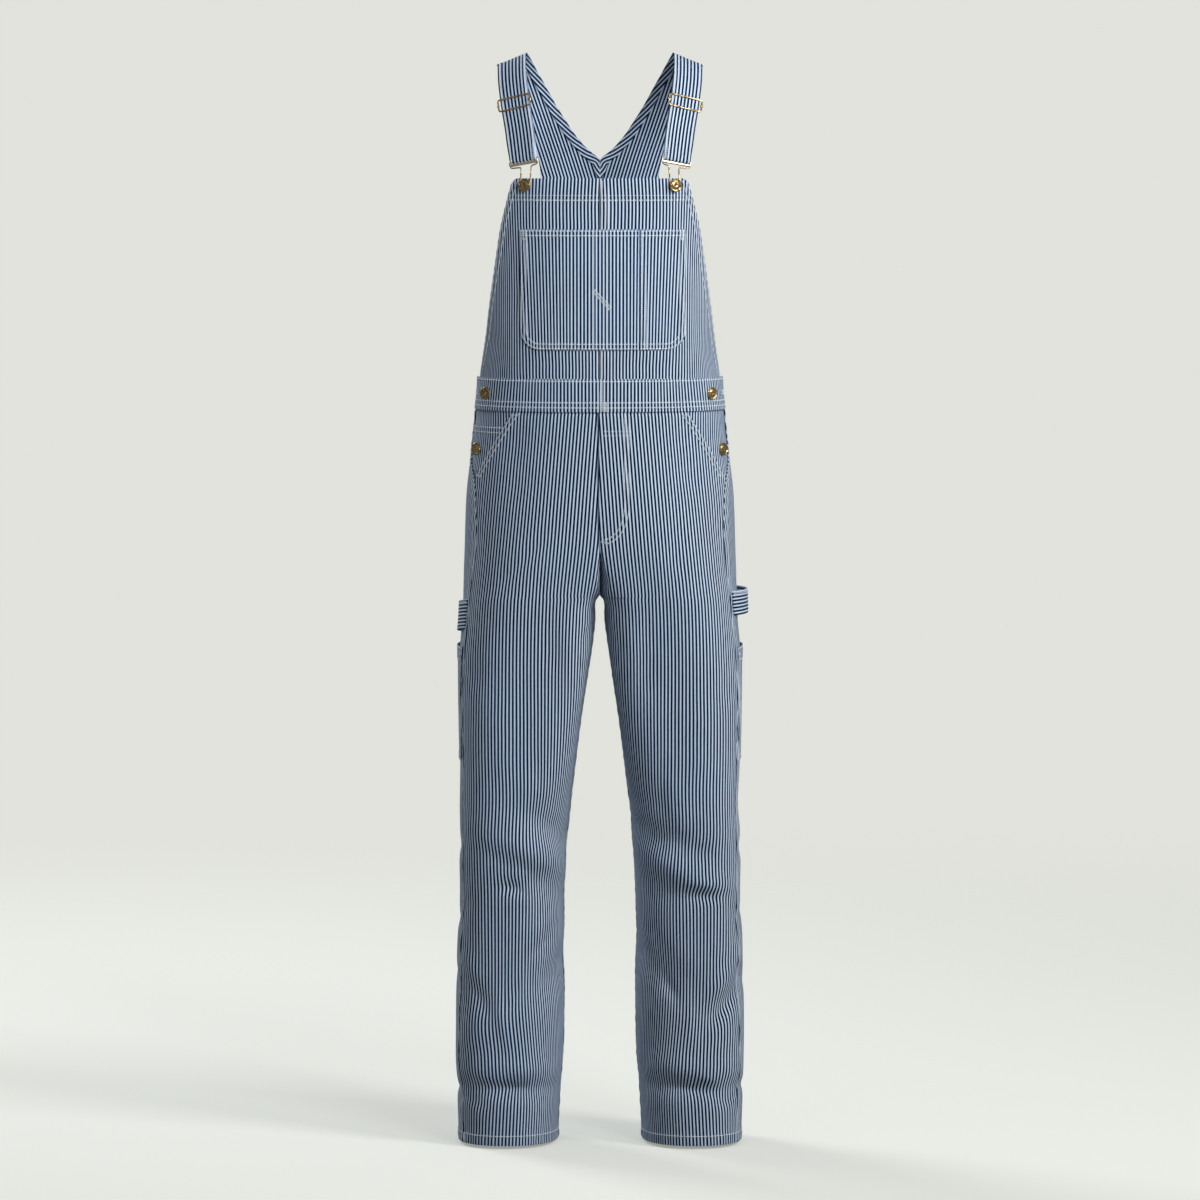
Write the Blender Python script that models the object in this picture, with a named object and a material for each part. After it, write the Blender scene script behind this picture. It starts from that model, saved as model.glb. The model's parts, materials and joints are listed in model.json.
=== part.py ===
# Bib dungarees in striped cotton, with the shape they have when worn and no wearer inside.
# Metres, +Z up. The front faces -Y and the wearer's left is +X. The origin lies midway between the
# shoulders, where the straps cross them, because the garment is held there.
# Every size below is in millimetres and every angle in degrees.
import math

import bmesh
import bpy
import numpy as np

MM = 0.001

# Cloth and clearances
GAP = 0.3             # between pieces that touch
WALL = 2.0            # a panel with its seam turnings
PATCH = 1.6           # a pocket, band or facing
COIN_WALL = 1.2       # the small pocket on the right hip
RAISED = 0.8          # how far the waistband stands proud of the panels
SINK = 0.6            # between a panel's flat facets and a piece that lies on it or runs under it

# Heights, from the top of the shoulders down
BIB_TOP = -170.0
BAND_TOP = -447.0     # top of the waistband
WAIST = -493.0        # seam between waistband and legs
MOUTH_END = -593.0    # low end of the slanted hip pocket mouth
CROTCH = -757.0
HEM = -1523.0

# Shoulders: height at the neck edge of a strap, its distance from the centre, and the fall outwards
SHOULDER_HEIGHT = 4.0
SHOULDER_NECK = 101.5
SHOULDER_SLOPE = 0.4235
SHOULDER_ROUND = 175.0   # drop over which the cloth turns from lying flat to hanging upright

# Details
POCKET_LEFT = 118.0
POCKET_RIGHT = -110.0
POCKET_SPLIT = 54.0      # edge of the pencil pocket
POCKET_TOP = -244.0
POCKET_BOTTOM = -407.0
POCKET_CORNER = 27.0
MOUTH_START = 120.0      # distance from the centre at the waist seam
FACING_UNDER = 7.0       # degrees that the facing runs on under the front
FACING_SINK = 0.9        # the facing's clearance under the front
BAND_WIDTH = 12.0        # turned band along the V of the back
FLY_LAP = 2.0            # the left front laps over the centre by this
TOOL_TOP = -824.0
TOOL_BOTTOM = -984.0
TOOL_ARC = 74.0          # degrees of the thigh that a tool pocket covers
KNEE_TOP = -855.0        # heights where a leg panel's solid is cut, so that its hollow stays open
KNEE_BOTTOM = -1200.0
STRAP_WIDTH = 43.0
STRAP_THICK = 1.7
STRAP_LIFT = 2.5         # stand-off from the chest at the hook
STRAP_END = -144.5       # height of the loop through the hook
LOOP_PINCH = 2.5         # how much narrower the strap is in that loop
WIRE = 0.95              # radius of the brass wire
NECK = 7.4               # half width of the hook's neck
HOOK_LIFT = 2.9          # of the hook's wire off the bib at the button
BAR_HALF = 2.0           # half height of the hook's flat front bar
SHOULDER_DROP = 4.6      # from that bar to the top of the hook's neck
BUTTON_CENTRE = (102.3, -179.5)
LOOP_RADIUS = WIRE + GAP + STRAP_THICK / 2   # of the strap's middle round the hook's bar
BUTTON = 9.2             # radius of a button head


def table(names, rows):
    """A short table as one array a column, sorted by its first column."""
    data = np.array(sorted(rows), float).T
    return dict(zip(names.split(), data))


# Horizontal sections of one side, from the hem to the shoulder. Outer and inner are distances from
# the centre plane to the outer side and to the inner leg. An inner value below zero lies past the
# centre plane, where the panels are cut and sewn. Front and back are depths from the section's
# middle, shift moves that middle back, and square is 2 for an ellipse and more for flatter sides.
SECTIONS = table("height outer inner front back shift square", [
    (30, 186, -186, 108, 112, 0, 2.4),
    (-60, 182, -182, 112, 116, 0, 2.4),
    (-120, 174, -174, 115, 117, 0, 2.5),
    (-174, 166, -166, 117, 117, 0, 2.5),
    (-300, 167, -167, 119, 114, 0, 2.4),
    (-400, 170, -170, 117, 109, 0, 2.3),
    (-454, 170.5, -170.5, 115, 110, 0, 2.2),
    (-493, 174, -174, 115, 116, 0, 2.15),
    (-550, 180, -174, 116, 125, 1, 2.1),
    (-610, 187, -155, 118, 132, 2, 2.1),
    (-655, 189, -112, 118, 134, 3, 2.1),
    (-690, 190, -66, 117, 132, 4, 2.1),
    (-716, 191, -33, 115, 128, 5, 2.1),
    (-737, 191.5, -13, 113, 125, 6, 2.1),
    (-757, 192, 2.5, 111, 122, 6, 2.1),
    (-790, 193.5, 4.5, 108, 118, 7, 2.1),
    (-824, 196.5, 9, 105, 114, 7, 2.1),
    (-870, 198, 17, 101, 109, 7, 2.1),
    (-930, 197.5, 27, 97, 104, 6, 2.1),
    (-985, 196.5, 34, 93, 99, 5, 2.1),
    (-1060, 197.5, 42.5, 90, 94, 5, 2.1),
    (-1120, 198, 47, 87, 92, 8, 2.1),
    (-1180, 197.5, 50.5, 84, 92, 12, 2.1),
    (-1240, 201, 50, 83, 93, 15, 2.1),
    (-1320, 203, 50.5, 83, 92, 16, 2.1),
    (-1400, 203, 52, 84, 90, 14, 2.1),
    (-1460, 201.5, 56.5, 85, 89, 12, 2.1),
    (-1520, 199.5, 60, 86, 90, 11, 2.1),
])

# Side seam: how far round from the front it lies. It runs forward down to the end of the hip pocket.
SIDE_SEAM = table("height angle", [
    (-447, 90), (-493, 90), (-530, 88), (-562, 80), (-593, 69), (-640, 63),
    (-757, 60), (-985, 59), (-1240, 56), (-1520, 57),
])

# Free side edge of the bib
BIB_EDGE = table("height across", [
    (-170, 120), (-200, 128.5), (-230, 136), (-286, 145), (-342, 153), (-398, 160), (-447, 167.5),
])

# Half of the high back: the inner edge, which is the centre seam and then the V, and the free outer edge
BACK_EDGES = table("step in_across in_height out_across out_height", [
    (0, 0, -493, 175, -493),
    (1, 0, -447, 167, -447),
    (2, 0, -400, 149, -400),
    (3, 0, -350, 129, -350),
    (4, 0, -300, 109, -300),
    (5, 0, -250, 93, -250),
    (6, 0, -205, 84.5, -208),
    (7, 0, -170, 82.5, -180),
    (8, 0, -147, 85, -156),
    (9, 17.7, -131, 89, -138),
    (10, 35.1, -111, 95, -118),
    (11, 48.9, -90, 103, -97),
    (12, 61.8, -69.5, 112, -78),
    (13, 74, -47, 122, -60),
    (14, 87.8, -22, 134, -36),
    (15, 101.5, 4, 144, -14),
])

# Centre line of a strap's front and how far it falls outwards
STRAP_LINE = table("height across slope", [
    (-5, 122.7, 0.4235), (-36, 120.6, 0.31), (-69, 116.4, 0.24), (-103, 110.8, 0.20), (-145, 105.6, 0.19),
])

# The largest folds of the cloth. Each is a soft trough, or a ridge where depth is below zero, of a
# given length and width, round a point at angle and height, with its length turned by tilt from level.
# Side 1 is the wearer's left leg, -1 the right.
FOLDS = table("side angle height tilt length width depth", [
    (-1, -42, -1075, 28, 100, 20, 7),
    (-1, -22, -1112, 22, 110, 20, -5),
    (-1, -30, -1152, 24, 80, 20, 5),
    (-1, -44, -1292, -32, 120, 26, 7),
    (-1, 12, -1345, -38, 120, 28, -5),
    (-1, -4, -1445, 2, 105, 14, 8),
    (-1, -4, -1416, 2, 95, 16, -4),
    (-1, 150, -1070, 12, 110, 26, 7),
    (-1, 195, -1125, -16, 120, 26, 6),
    (-1, 180, -1428, 6, 110, 18, 7),
    (-1, 205, -800, 25, 130, 26, 6),
    (1, -34, -1088, -20, 100, 20, 7),
    (1, -14, -1132, -22, 110, 20, -5),
    (1, -28, -1165, -18, 80, 20, 4),
    (1, -40, -1272, -32, 120, 26, 7),
    (1, 20, -1335, 36, 120, 28, 5),
    (1, -2, -1443, -3, 105, 14, 8),
    (1, -2, -1414, -3, 95, 16, -4),
    (1, 95, -1042, 5, 90, 34, 3.5),
    (1, 160, -1078, -14, 110, 26, 7),
    (1, 190, -1140, 15, 120, 26, 6),
    (1, 175, -1424, -6, 110, 18, 7),
    (1, 200, -790, -24, 130, 26, 6),
])


def eased(value, points, heights):
    """Smooth curve through a table column: a cubic between neighbours with a shared slope at each."""
    slope = np.gradient(heights, points)
    i = np.clip(np.searchsorted(points, value) - 1, 0, len(points) - 2)
    span = points[i + 1] - points[i]
    t = np.clip((value - points[i]) / span, 0, 1)
    start = (1 + 2 * t) * (1 - t) ** 2 * heights[i] + t * (1 - t) ** 2 * span * slope[i]
    return start + t * t * (3 - 2 * t) * heights[i + 1] + t * t * (t - 1) * span * slope[i + 1]


def section(name, height):
    return eased(height, SECTIONS["height"], SECTIONS[name])


def shoulder(across):
    """Height of the shoulder at a distance from the centre."""
    return SHOULDER_HEIGHT - (across - SHOULDER_NECK) * SHOULDER_SLOPE


def skin(angle, height):
    """Outer face of one side. Angle 0 is the front, 90 the outer side, 180 the back, -90 the inner leg."""
    angle, height = np.broadcast_arrays(np.asarray(angle, float), np.asarray(height, float))
    outer = section("outer", height)
    inner = section("inner", height)
    square = section("square", height)
    sine = np.sin(np.radians(angle))
    cosine = np.cos(np.radians(angle))
    reach = (np.abs(sine) ** square + np.abs(cosine) ** square) ** (-1 / square)
    x = (outer + inner) / 2 + (outer - inner) / 2 * reach * sine
    depth = np.where(cosine > 0, section("front", height), section("back", height)) * reach * cosine
    below = np.clip((shoulder(x) - height) / SHOULDER_ROUND, 0, 1)
    y = section("shift", height) - depth * np.sqrt(1 - (1 - below) ** 2)
    return np.stack([x, y, height], axis=-1)


def outward(angle, height):
    """Unit vector square to the skin."""
    turn = skin(angle + 0.5, height) - skin(angle - 0.5, height)
    drop = skin(angle, height - 0.4) - skin(angle, height)
    square = -np.cross(turn, drop)
    return square / np.linalg.norm(square, axis=-1, keepdims=True)


def folds(angle, height, side):
    """Depth of the folds at a point: each falls off as a bell curve across and along its length."""
    radius = (section("outer", height) - section("inner", height)) / 2
    total = np.zeros(np.broadcast(angle, height).shape)
    for k in range(len(FOLDS["side"])):
        fold = {name: column[k] for name, column in FOLDS.items()}
        if fold["side"] != side:
            continue
        away = (angle - fold["angle"] + 180) % 360 - 180
        along = np.radians(away) * radius
        rise = height - fold["height"]
        tilt = math.radians(fold["tilt"])
        run = along * math.cos(tilt) + rise * math.sin(tilt)
        cross = rise * math.cos(tilt) - along * math.sin(tilt)
        total += fold["depth"] * np.exp(-(cross / fold["width"]) ** 2 - (run / fold["length"] * 1.6) ** 2)
    return total


def surface(angle, height, side, lift=0.0):
    """A point on one side of the garment, lifted off its outer face. Below the crotch it has the folds."""
    angle, height = np.broadcast_arrays(np.asarray(angle, float), np.asarray(height, float))
    point = skin(angle, height) + outward(angle, height) * (lift - folds(angle, height, side))[..., None]
    point[..., 0] *= side
    return point


def angle_at(across, height, behind=False):
    """How far round a point at a distance from the centre plane lies, at the front or behind."""
    outer = section("outer", height)
    inner = section("inner", height)
    square = section("square", height)
    ratio = np.clip((across - (outer + inner) / 2) / ((outer - inner) / 2), -1, 1)
    depth = (1 - np.abs(ratio) ** square) ** (1 / square)
    found = np.degrees(np.arctan2(ratio, depth))
    return 180 - found if behind else found


def side_seam(height):
    return eased(height, SIDE_SEAM["height"], SIDE_SEAM["angle"])


def trim(height):
    """Half of a seam's clearance, as an angle."""
    return np.degrees(GAP / 2 / section("front", height))


def material(name, colour, roughness, metallic=0.0):
    made = bpy.data.materials.new(name)
    made.use_nodes = True
    shader = made.node_tree.nodes["Principled BSDF"]
    shader.inputs["Base Color"].default_value = (*colour, 1.0)
    shader.inputs["Roughness"].default_value = roughness
    shader.inputs["Metallic"].default_value = metallic
    return made


def finish(name, mesh, colour, smooth):
    """Point a closed mesh's faces outwards and make it an object."""
    bmesh.ops.recalc_face_normals(mesh, faces=mesh.faces)
    data = bpy.data.meshes.new(name)
    mesh.to_mesh(data)
    mesh.free()
    data.materials.append(colour)
    if smooth:
        data.shade_smooth()
        data.set_sharp_from_angle(angle=math.radians(50))
    made = bpy.data.objects.new(name, data)
    bpy.context.collection.objects.link(made)
    return made


def wall(name, outside, inside, colour):
    """A closed sheet between two grids of points, in millimetres, with a rim round its edge."""
    rows, columns = outside.shape[:2]
    mesh = bmesh.new()
    layers = []
    for grid in (outside, inside):
        layers.append([[mesh.verts.new(point) for point in row] for row in grid * MM])
    for layer in layers:
        for i in range(rows - 1):
            for j in range(columns - 1):
                mesh.faces.new((layer[i][j], layer[i + 1][j], layer[i + 1][j + 1], layer[i][j + 1]))
    rim = [(0, j) for j in range(columns)] + [(i, columns - 1) for i in range(1, rows)]
    rim += [(rows - 1, j) for j in range(columns - 2, -1, -1)] + [(i, 0) for i in range(rows - 2, 0, -1)]
    for (i, j), (k, m) in zip(rim, rim[1:] + rim[:1]):
        mesh.faces.new((layers[0][i][j], layers[0][k][m], layers[1][k][m], layers[1][i][j]))
    return finish(name, mesh, colour, True)


def tube(name, stations, colour, closed):
    """A solid carried through rings of points, joined end to end or closed by flat ends."""
    mesh = bmesh.new()
    rings = [[mesh.verts.new(point) for point in ring] for ring in stations * MM]
    count = len(rings[0])
    last = len(rings) if closed else len(rings) - 1
    for k in range(last):
        near, far = rings[k], rings[(k + 1) % len(rings)]
        for j in range(count):
            mesh.faces.new((near[j], near[(j + 1) % count], far[(j + 1) % count], far[j]))
    if not closed:
        mesh.faces.new(rings[0])
        mesh.faces.new(rings[-1])
    return finish(name, mesh, colour, True)


def panel(name, start, end, heights, columns, side, low, high, colour):
    """A panel between two edges, given as angles for each height, from one lift to another."""
    share = np.linspace(0, 1, columns)
    angle = np.asarray(start)[:, None] * (1 - share) + np.asarray(end)[:, None] * share
    height = np.repeat(np.asarray(heights, float)[:, None], columns, axis=1)
    low = np.broadcast_to(np.asarray(low, float).reshape(-1, 1), (len(heights), 1))
    high = np.broadcast_to(np.asarray(high, float).reshape(-1, 1), (len(heights), 1))
    return wall(name, surface(angle, height, side, high), surface(angle, height, side, low), colour)


def leg_heights():
    """Heights of the rows of a leg panel, close together at the crotch, the knee and the ankle's fold."""
    hips = np.linspace(WAIST - GAP / 2, MOUTH_END, 5)
    rise = [-622, -652, -680, -703, -721, -735, -746, CROTCH - 3, -776]
    thigh = [-806, -855, -905, -955, -1005, -1042]
    knee = [-1068, -1090, -1112, -1136, -1165, -1200, -1240]
    calf = [-1280, -1320, -1362, -1400]
    ankle = [-1420, -1433, -1445, -1458, -1478, HEM]
    return np.concatenate([hips, rise, thigh, knee, calf, ankle])


def centre_cut(height, lap):
    """Where the panels of the two sides meet on the centre plane, above the crotch."""
    return GAP / 2 + lap * np.clip((height + 735) / 75, 0, 1)


def leg_parts():
    """Rows of the three solids of a leg panel. They keep a seam's clearance where the panel is cut."""
    rows = leg_heights()
    parts = []
    for name, high, low in (("hip", rows[0], KNEE_TOP + GAP / 2),
                            ("knee", KNEE_TOP - GAP / 2, KNEE_BOTTOM + GAP / 2),
                            ("shin", KNEE_BOTTOM - GAP / 2, rows[-1])):
        between = rows[(rows < high - GAP) & (rows > low + GAP)]
        parts.append((name, np.concatenate([[high], between, [low]])))
    return parts


def legs(side, word, cloth):
    lap = -FLY_LAP if side > 0 else FLY_LAP
    for name, heights in leg_parts():
        seam = side_seam(heights)
        front_end = np.where(heights > MOUTH_END, pocket_mouth(heights), seam)
        start = angle_at(centre_cut(heights, lap), heights) + trim(heights)
        panel(f"front_{name}_{word}", start, front_end - trim(heights), heights, 13, side, -WALL, 0, cloth)
        end = angle_at(centre_cut(heights, 0), heights, behind=True) - trim(heights)
        panel(f"back_{name}_{word}", seam + trim(heights), end, heights, 14, side, -WALL, 0, cloth)


def pocket_mouth(height):
    """Angle of the slanted hip pocket edge, straight from the waist seam to the side seam."""
    top = angle_at(MOUTH_START, WAIST)
    bottom = side_seam(MOUTH_END)
    share = np.clip((WAIST - height) / (WAIST - MOUTH_END), 0, 1)
    return top + (bottom - top) * share


def hip_pocket(side, word, cloth):
    heights = np.linspace(WAIST - GAP / 2, MOUTH_END, 5)
    high = -WALL - FACING_SINK
    low = high - PATCH
    start = pocket_mouth(heights) - FACING_UNDER
    panel(f"hip_facing_{word}", start, side_seam(heights) + FACING_UNDER / 2, heights, 7, side, low, high, cloth)
    if side < 0:
        heights = np.linspace(-521, -578, 4)
        start = pocket_mouth(heights) + 0.6
        low = high + SINK
        panel("coin_pocket", start, side_seam(heights) - 1.5, heights, 5, side, low, low + COIN_WALL, cloth)


def waistband(side, word, cloth):
    heights = np.linspace(BAND_TOP, WAIST + GAP / 2, 4)
    start = angle_at(GAP / 2, heights)
    end = side_seam(heights) - trim(heights)
    panel(f"waistband_{word}", start, end, heights, 13, side, -WALL, RAISED, cloth)


def bib(side, word, cloth):
    heights = np.linspace(BIB_TOP, BAND_TOP + GAP, 11)
    start = angle_at(GAP / 2, heights)
    end = angle_at(eased(heights, BIB_EDGE["height"], BIB_EDGE["across"]), heights)
    panel(f"bib_{word}", start, end, heights, 10, side, -WALL, 0, cloth)


def bib_pocket(name, right, left, cloth):
    """A patch on the bib between two edges, with its outer lower corner rounded."""
    heights = [POCKET_TOP, -285, -325, -360]
    heights += [POCKET_BOTTOM + POCKET_CORNER * (1 - math.sin(math.radians(a))) for a in (0, 25, 45, 65, 82)]
    heights = np.array(heights)
    into = np.clip((POCKET_BOTTOM + POCKET_CORNER - heights) / POCKET_CORNER, 0, 1)
    inset = POCKET_CORNER * (1 - np.sqrt(1 - into ** 2))
    edge_right = right + np.where(right == POCKET_RIGHT, inset, 0)
    edge_left = left - np.where(left == POCKET_LEFT, inset, 0)
    columns = max(4, round((left - right) / 16))
    share = np.linspace(0, 1, columns)
    across = edge_right[:, None] * (1 - share) + edge_left[:, None] * share
    height = np.repeat(heights[:, None], columns, axis=1)
    angle = angle_at(np.abs(across), height)
    grids = []
    for lift in (SINK + PATCH, SINK):
        grid = surface(angle, height, 1, lift)
        grid[..., 0] *= np.where(across < 0, -1, 1)
        grids.append(grid)
    wall(name, grids[0], grids[1], cloth)


def back_rows():
    """The rows of the high back, close together where an arm turns over the shoulder."""
    turns = np.radians([28, 22, 16.5, 11.5, 7, 3, 0])
    left = (1 - np.cos(turns)) / (1 - math.cos(math.radians(33)))
    steps = np.concatenate([np.arange(0, 14.1, 1.0), 15 - left])
    rows = {name: eased(steps, BACK_EDGES["step"], BACK_EDGES[name]) for name in BACK_EDGES}
    for edge in ("in", "out"):
        across = rows[edge + "_across"]
        height = rows[edge + "_height"]
        fall = shoulder(across[14]) - height[14]
        height[15:] = shoulder(across[15:]) - fall * left
    return rows


def back_panel(side, word, cloth):
    rows = back_rows()
    across_in = np.maximum(rows["in_across"], GAP / 2)
    start = angle_at(across_in, rows["in_height"], behind=True)
    end = angle_at(rows["out_across"], rows["out_height"], behind=True)
    end = np.maximum(end, 90 + trim(rows["out_height"]))
    share = np.linspace(0, 1, 10)
    height = rows["in_height"][:, None] * (1 - share) + rows["out_height"][:, None] * share
    even = start[:, None] * (1 - share) + end[:, None] * share
    straight = angle_at(across_in[:, None] * (1 - share) + rows["out_across"][:, None] * share, height, behind=True)
    upper = np.clip((rows["step"][:, None] - 2) / 4, 0, 1)
    angle = even * (1 - upper) + straight * upper
    height[0] += GAP / 2
    sheets = [surface(angle, height, side, 0), surface(angle, height, side, -WALL)]
    for sheet in sheets:
        sheet[-1, :, 1] = GAP / 2
    wall(f"back_panel_{word}", sheets[0], sheets[1], cloth)


def neck_facing(side, word, cloth):
    """Band turned in along the V, on the face that looks forward. It keeps to the rows of the back."""
    rows = back_rows()
    keep = rows["in_height"] > -172
    rows = {name: column[keep] for name, column in rows.items()}
    edge = np.stack([rows["in_across"], rows["in_height"]], axis=1)
    row = np.stack([rows["out_across"], rows["out_height"]], axis=1) - edge
    length = np.linalg.norm(row, axis=1)
    along = np.gradient(edge, axis=0)
    along[:2] = along[2]
    along /= np.linalg.norm(along, axis=1, keepdims=True)
    square = np.abs(row[:, 0] * along[:, 1] - row[:, 1] * along[:, 0]) / length
    width = BAND_WIDTH / square / length
    width[0] = 0.04
    share = np.linspace(0, 1, 4) * width[:, None]
    across = np.maximum(edge[:, :1] + row[:, :1] * share, GAP / 2)
    height = edge[:, 1:] + row[:, 1:] * share
    angle = angle_at(across, height, behind=True)
    high = -WALL - SINK
    wall(f"neck_facing_{word}", surface(angle, height, side, high), surface(angle, height, side, high - 1.2), cloth)


def on_front(across, height):
    """Point of the front of the chest at a distance from the centre."""
    return skin(angle_at(across, height), height)


def strap_station(height):
    """Middle of a strap's front layer at a height, with the unit vectors across it and out of it."""
    across = eased(height, STRAP_LINE["height"], STRAP_LINE["across"])
    slope = eased(height, STRAP_LINE["height"], STRAP_LINE["slope"])
    half = STRAP_WIDTH / 2 / math.hypot(1, slope)
    tops = [shoulder(across + s * half) - 0.001 for s in (-1, 1)]
    edges = [on_front(across + s * half, min(height - s * half * slope, tops[(s + 1) // 2])) for s in (-1, 1)]
    width = edges[1] - edges[0]
    return (edges[0] + edges[1]) / 2, width / np.linalg.norm(width)


def strap_path():
    """Middle line of a strap: over the shoulder, down to the hook, round its bar and up to the slider."""
    turns = np.radians([0.2, 4, 9, 15, 22, 30, 38, 46, 54, 61, 67, 71])
    drop = (1 - np.cos(turns)) / (1 - math.cos(turns[-1]))
    top = shoulder(STRAP_LINE["across"][-1])
    front_heights = top + (STRAP_END - top) * drop
    middles = []
    crosses = []
    for height in front_heights:
        middle, cross = strap_station(height)
        middles.append(middle)
        crosses.append(cross)
    middles = np.array(middles)
    crosses = np.array(crosses)
    along = np.gradient(middles, axis=0)
    along /= np.linalg.norm(along, axis=1, keepdims=True)
    out = np.cross(along, crosses)
    lift = (STRAP_LIFT + WALL / 2) * np.clip(np.linspace(0, 2.2, len(turns)), 0, 1) - WALL / 2
    middles = middles + out * lift[:, None]
    return middles, crosses, along, out


def frame_at(path, height):
    """Point, cross, down and out vectors of a strap at a height."""
    order = np.argsort(path[0][:, 2])
    heights = path[0][order, 2]
    found = []
    for part in path:
        found.append(np.array([np.interp(height, heights, part[order, k]) for k in range(3)]))
    for k in range(1, 4):
        found[k] /= np.linalg.norm(found[k])
    return found


def strap(side, word, cloth):
    middles, crosses, along, out = strap_path()
    last, cross, down, square = middles[-1], crosses[-1], along[-1], out[-1]
    centre = last - square * LOOP_RADIUS
    turns = np.radians(np.linspace(15, 180, 8))
    bend = [centre + LOOP_RADIUS * (square * math.cos(t) + down * math.sin(t)) for t in turns]
    bend_out = [square * math.cos(t) + down * math.sin(t) for t in turns]
    back = middles[-2:5:-1] - out[-2:5:-1] * (2 * LOOP_RADIUS - 0.9)
    points = np.concatenate([middles, bend, back])
    normals = np.concatenate([out, bend_out, -out[-2:5:-1]])
    widths = np.concatenate([crosses, [cross] * len(bend), crosses[-2:5:-1]])
    pinch = LOOP_PINCH * np.clip((STRAP_END + 25 - points[:, 2]) / 20, 0, 1)
    rings = []
    for point, normal, width, narrow in zip(points, normals, widths, pinch):
        half = width * (STRAP_WIDTH - narrow) / 2
        thick = normal * STRAP_THICK / 2
        rings.append([point - half + thick, point + half + thick, point + half - thick, point - half - thick])
    rings = np.array(rings)
    rings[0, :, 1] = -GAP / 2
    rings[..., 0] *= side
    tube(f"strap_{word}", rings, cloth, False)


def wire_rings(path, across_radius, out_radius, frame, sides, closed):
    """Rings of a wire that follows a flat path, given across and down, in a strap's frame."""
    point, cross, down, out = frame
    path = np.array(path, float)
    if closed:
        along = np.roll(path, -1, axis=0) - np.roll(path, 1, axis=0)
    else:
        along = np.gradient(path, axis=0)
    along /= np.linalg.norm(along, axis=1, keepdims=True)
    beside = np.stack([-along[:, 1], along[:, 0]], axis=1)
    turn = np.linspace(0, 2 * math.pi, sides, endpoint=False)
    rings = []
    for k, (spot, aside) in enumerate(zip(path, beside)):
        offset = spot + np.outer(np.cos(turn) * across_radius[k], aside)
        depth = np.sin(turn) * out_radius[k]
        rings.append(point + offset[:, :1] * cross + offset[:, 1:] * down + depth[:, None] * out)
    return np.array(rings)


def rounded_box(half_width, half_height, corner, steps):
    """Closed path round a box with round corners, starting at the middle of its left end."""
    path = [(-half_width, 0.0)]
    for sx, sy, begin in ((-1, -1, 180), (1, -1, 270), (1, 1, 0), (-1, 1, 90)):
        for k in range(steps + 1):
            turn = math.radians(begin + 90 * k / steps)
            x = sx * (half_width - corner) + corner * math.cos(turn)
            y = sy * (half_height - corner) + corner * math.sin(turn)
            path.append((x, y))
        if sx > 0 and sy < 0:
            path.append((half_width, 0.0))
    return path


def slider(side, word, brass):
    """Flat wire frame in front of the strap, with the ends of its middle bar as knobs."""
    path = strap_path()
    point, cross, down, out = frame_at(path, -66.5)
    point = point + out * (STRAP_THICK / 2 + GAP + WIRE + 0.1)
    box = rounded_box(24.4, 8.8, 3.0, 3)
    knob = [1.9 if abs(y) < 0.01 else WIRE for x, y in box]
    rings = wire_rings(box, knob, knob, (point, cross, down, out), 6, True)
    rings[..., 0] *= side
    tube(f"slider_{word}", rings, brass, True)


def button_spot():
    """Centre of a bib button on the cloth, with the vector square to it."""
    across, height = BUTTON_CENTRE
    return on_front(across, height), outward(angle_at(across, height), height)


def hook(side, word, brass):
    """Slotted bar in the strap's loop, with a wire that runs down round the shank of the button."""
    middles, crosses, along, out = strap_path()
    centre = middles[-1] - out[-1] * LOOP_RADIUS
    spot, square = button_spot()
    target = spot + square * HOOK_LIFT
    cross = crosses[-1]
    down = target - centre
    down -= cross * np.dot(down, cross)
    reach = np.linalg.norm(down)
    down /= reach
    normal = np.cross(down, cross)
    aside = float(np.dot(target - centre, cross))
    frame = (centre, cross, down, normal)
    slot = LOOP_RADIUS + STRAP_THICK / 2 + GAP + BAR_HALF
    half = (STRAP_WIDTH - LOOP_PINCH) / 2 + GAP + WIRE
    bar = [(x, y + slot / 2) for x, y in rounded_box(half, slot / 2, 1.6, 2)]
    flat = [BAR_HALF if y > slot - 0.1 else WIRE for x, y in bar]
    rings = wire_rings(bar, flat, [WIRE] * len(bar), frame, 6, True)
    rings[..., 0] *= side
    made = tube(f"hook_{word}", rings, brass, True)
    drop = slot + SHOULDER_DROP
    up = np.array([cross[2], down[2]]) / math.hypot(cross[2], down[2])
    beside = np.array([-up[1], up[0]])
    goal = np.array([np.dot(target - centre, cross), reach])
    halves = []
    for hand in (-1, 1):
        start = goal + beside * hand * NECK
        top = start + up * (start[1] - drop - 1.8) / -up[1]
        ends = [(hand * (half - 0.9), slot + 0.8), (hand * (half - 1.3), slot + 2.9), (hand * (half - 4), drop - 0.4)]
        halves.append(ends + [(top[0] + hand * 1.8, drop), tuple(top), tuple(start + up * 2)])
    bend = [tuple(goal - beside * NECK * math.cos(t) - up * NECK * 0.8 * math.sin(t)) for t in np.radians([20, 55, 90, 125, 160])]
    run = halves[0] + bend + halves[1][::-1]
    radius = [WIRE] * len(run)
    rings = wire_rings(run, radius, radius, frame, 6, False)
    rings[..., 0] *= side
    wire = tube(f"hook_wire_{word}", rings, brass, False)
    wire.hide_render = True
    wire.display_type = "WIRE"
    join = made.modifiers.new("join the wire", "BOOLEAN")
    join.operation = "UNION"
    join.solver = "EXACT"
    join.object = wire
    return made


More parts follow.
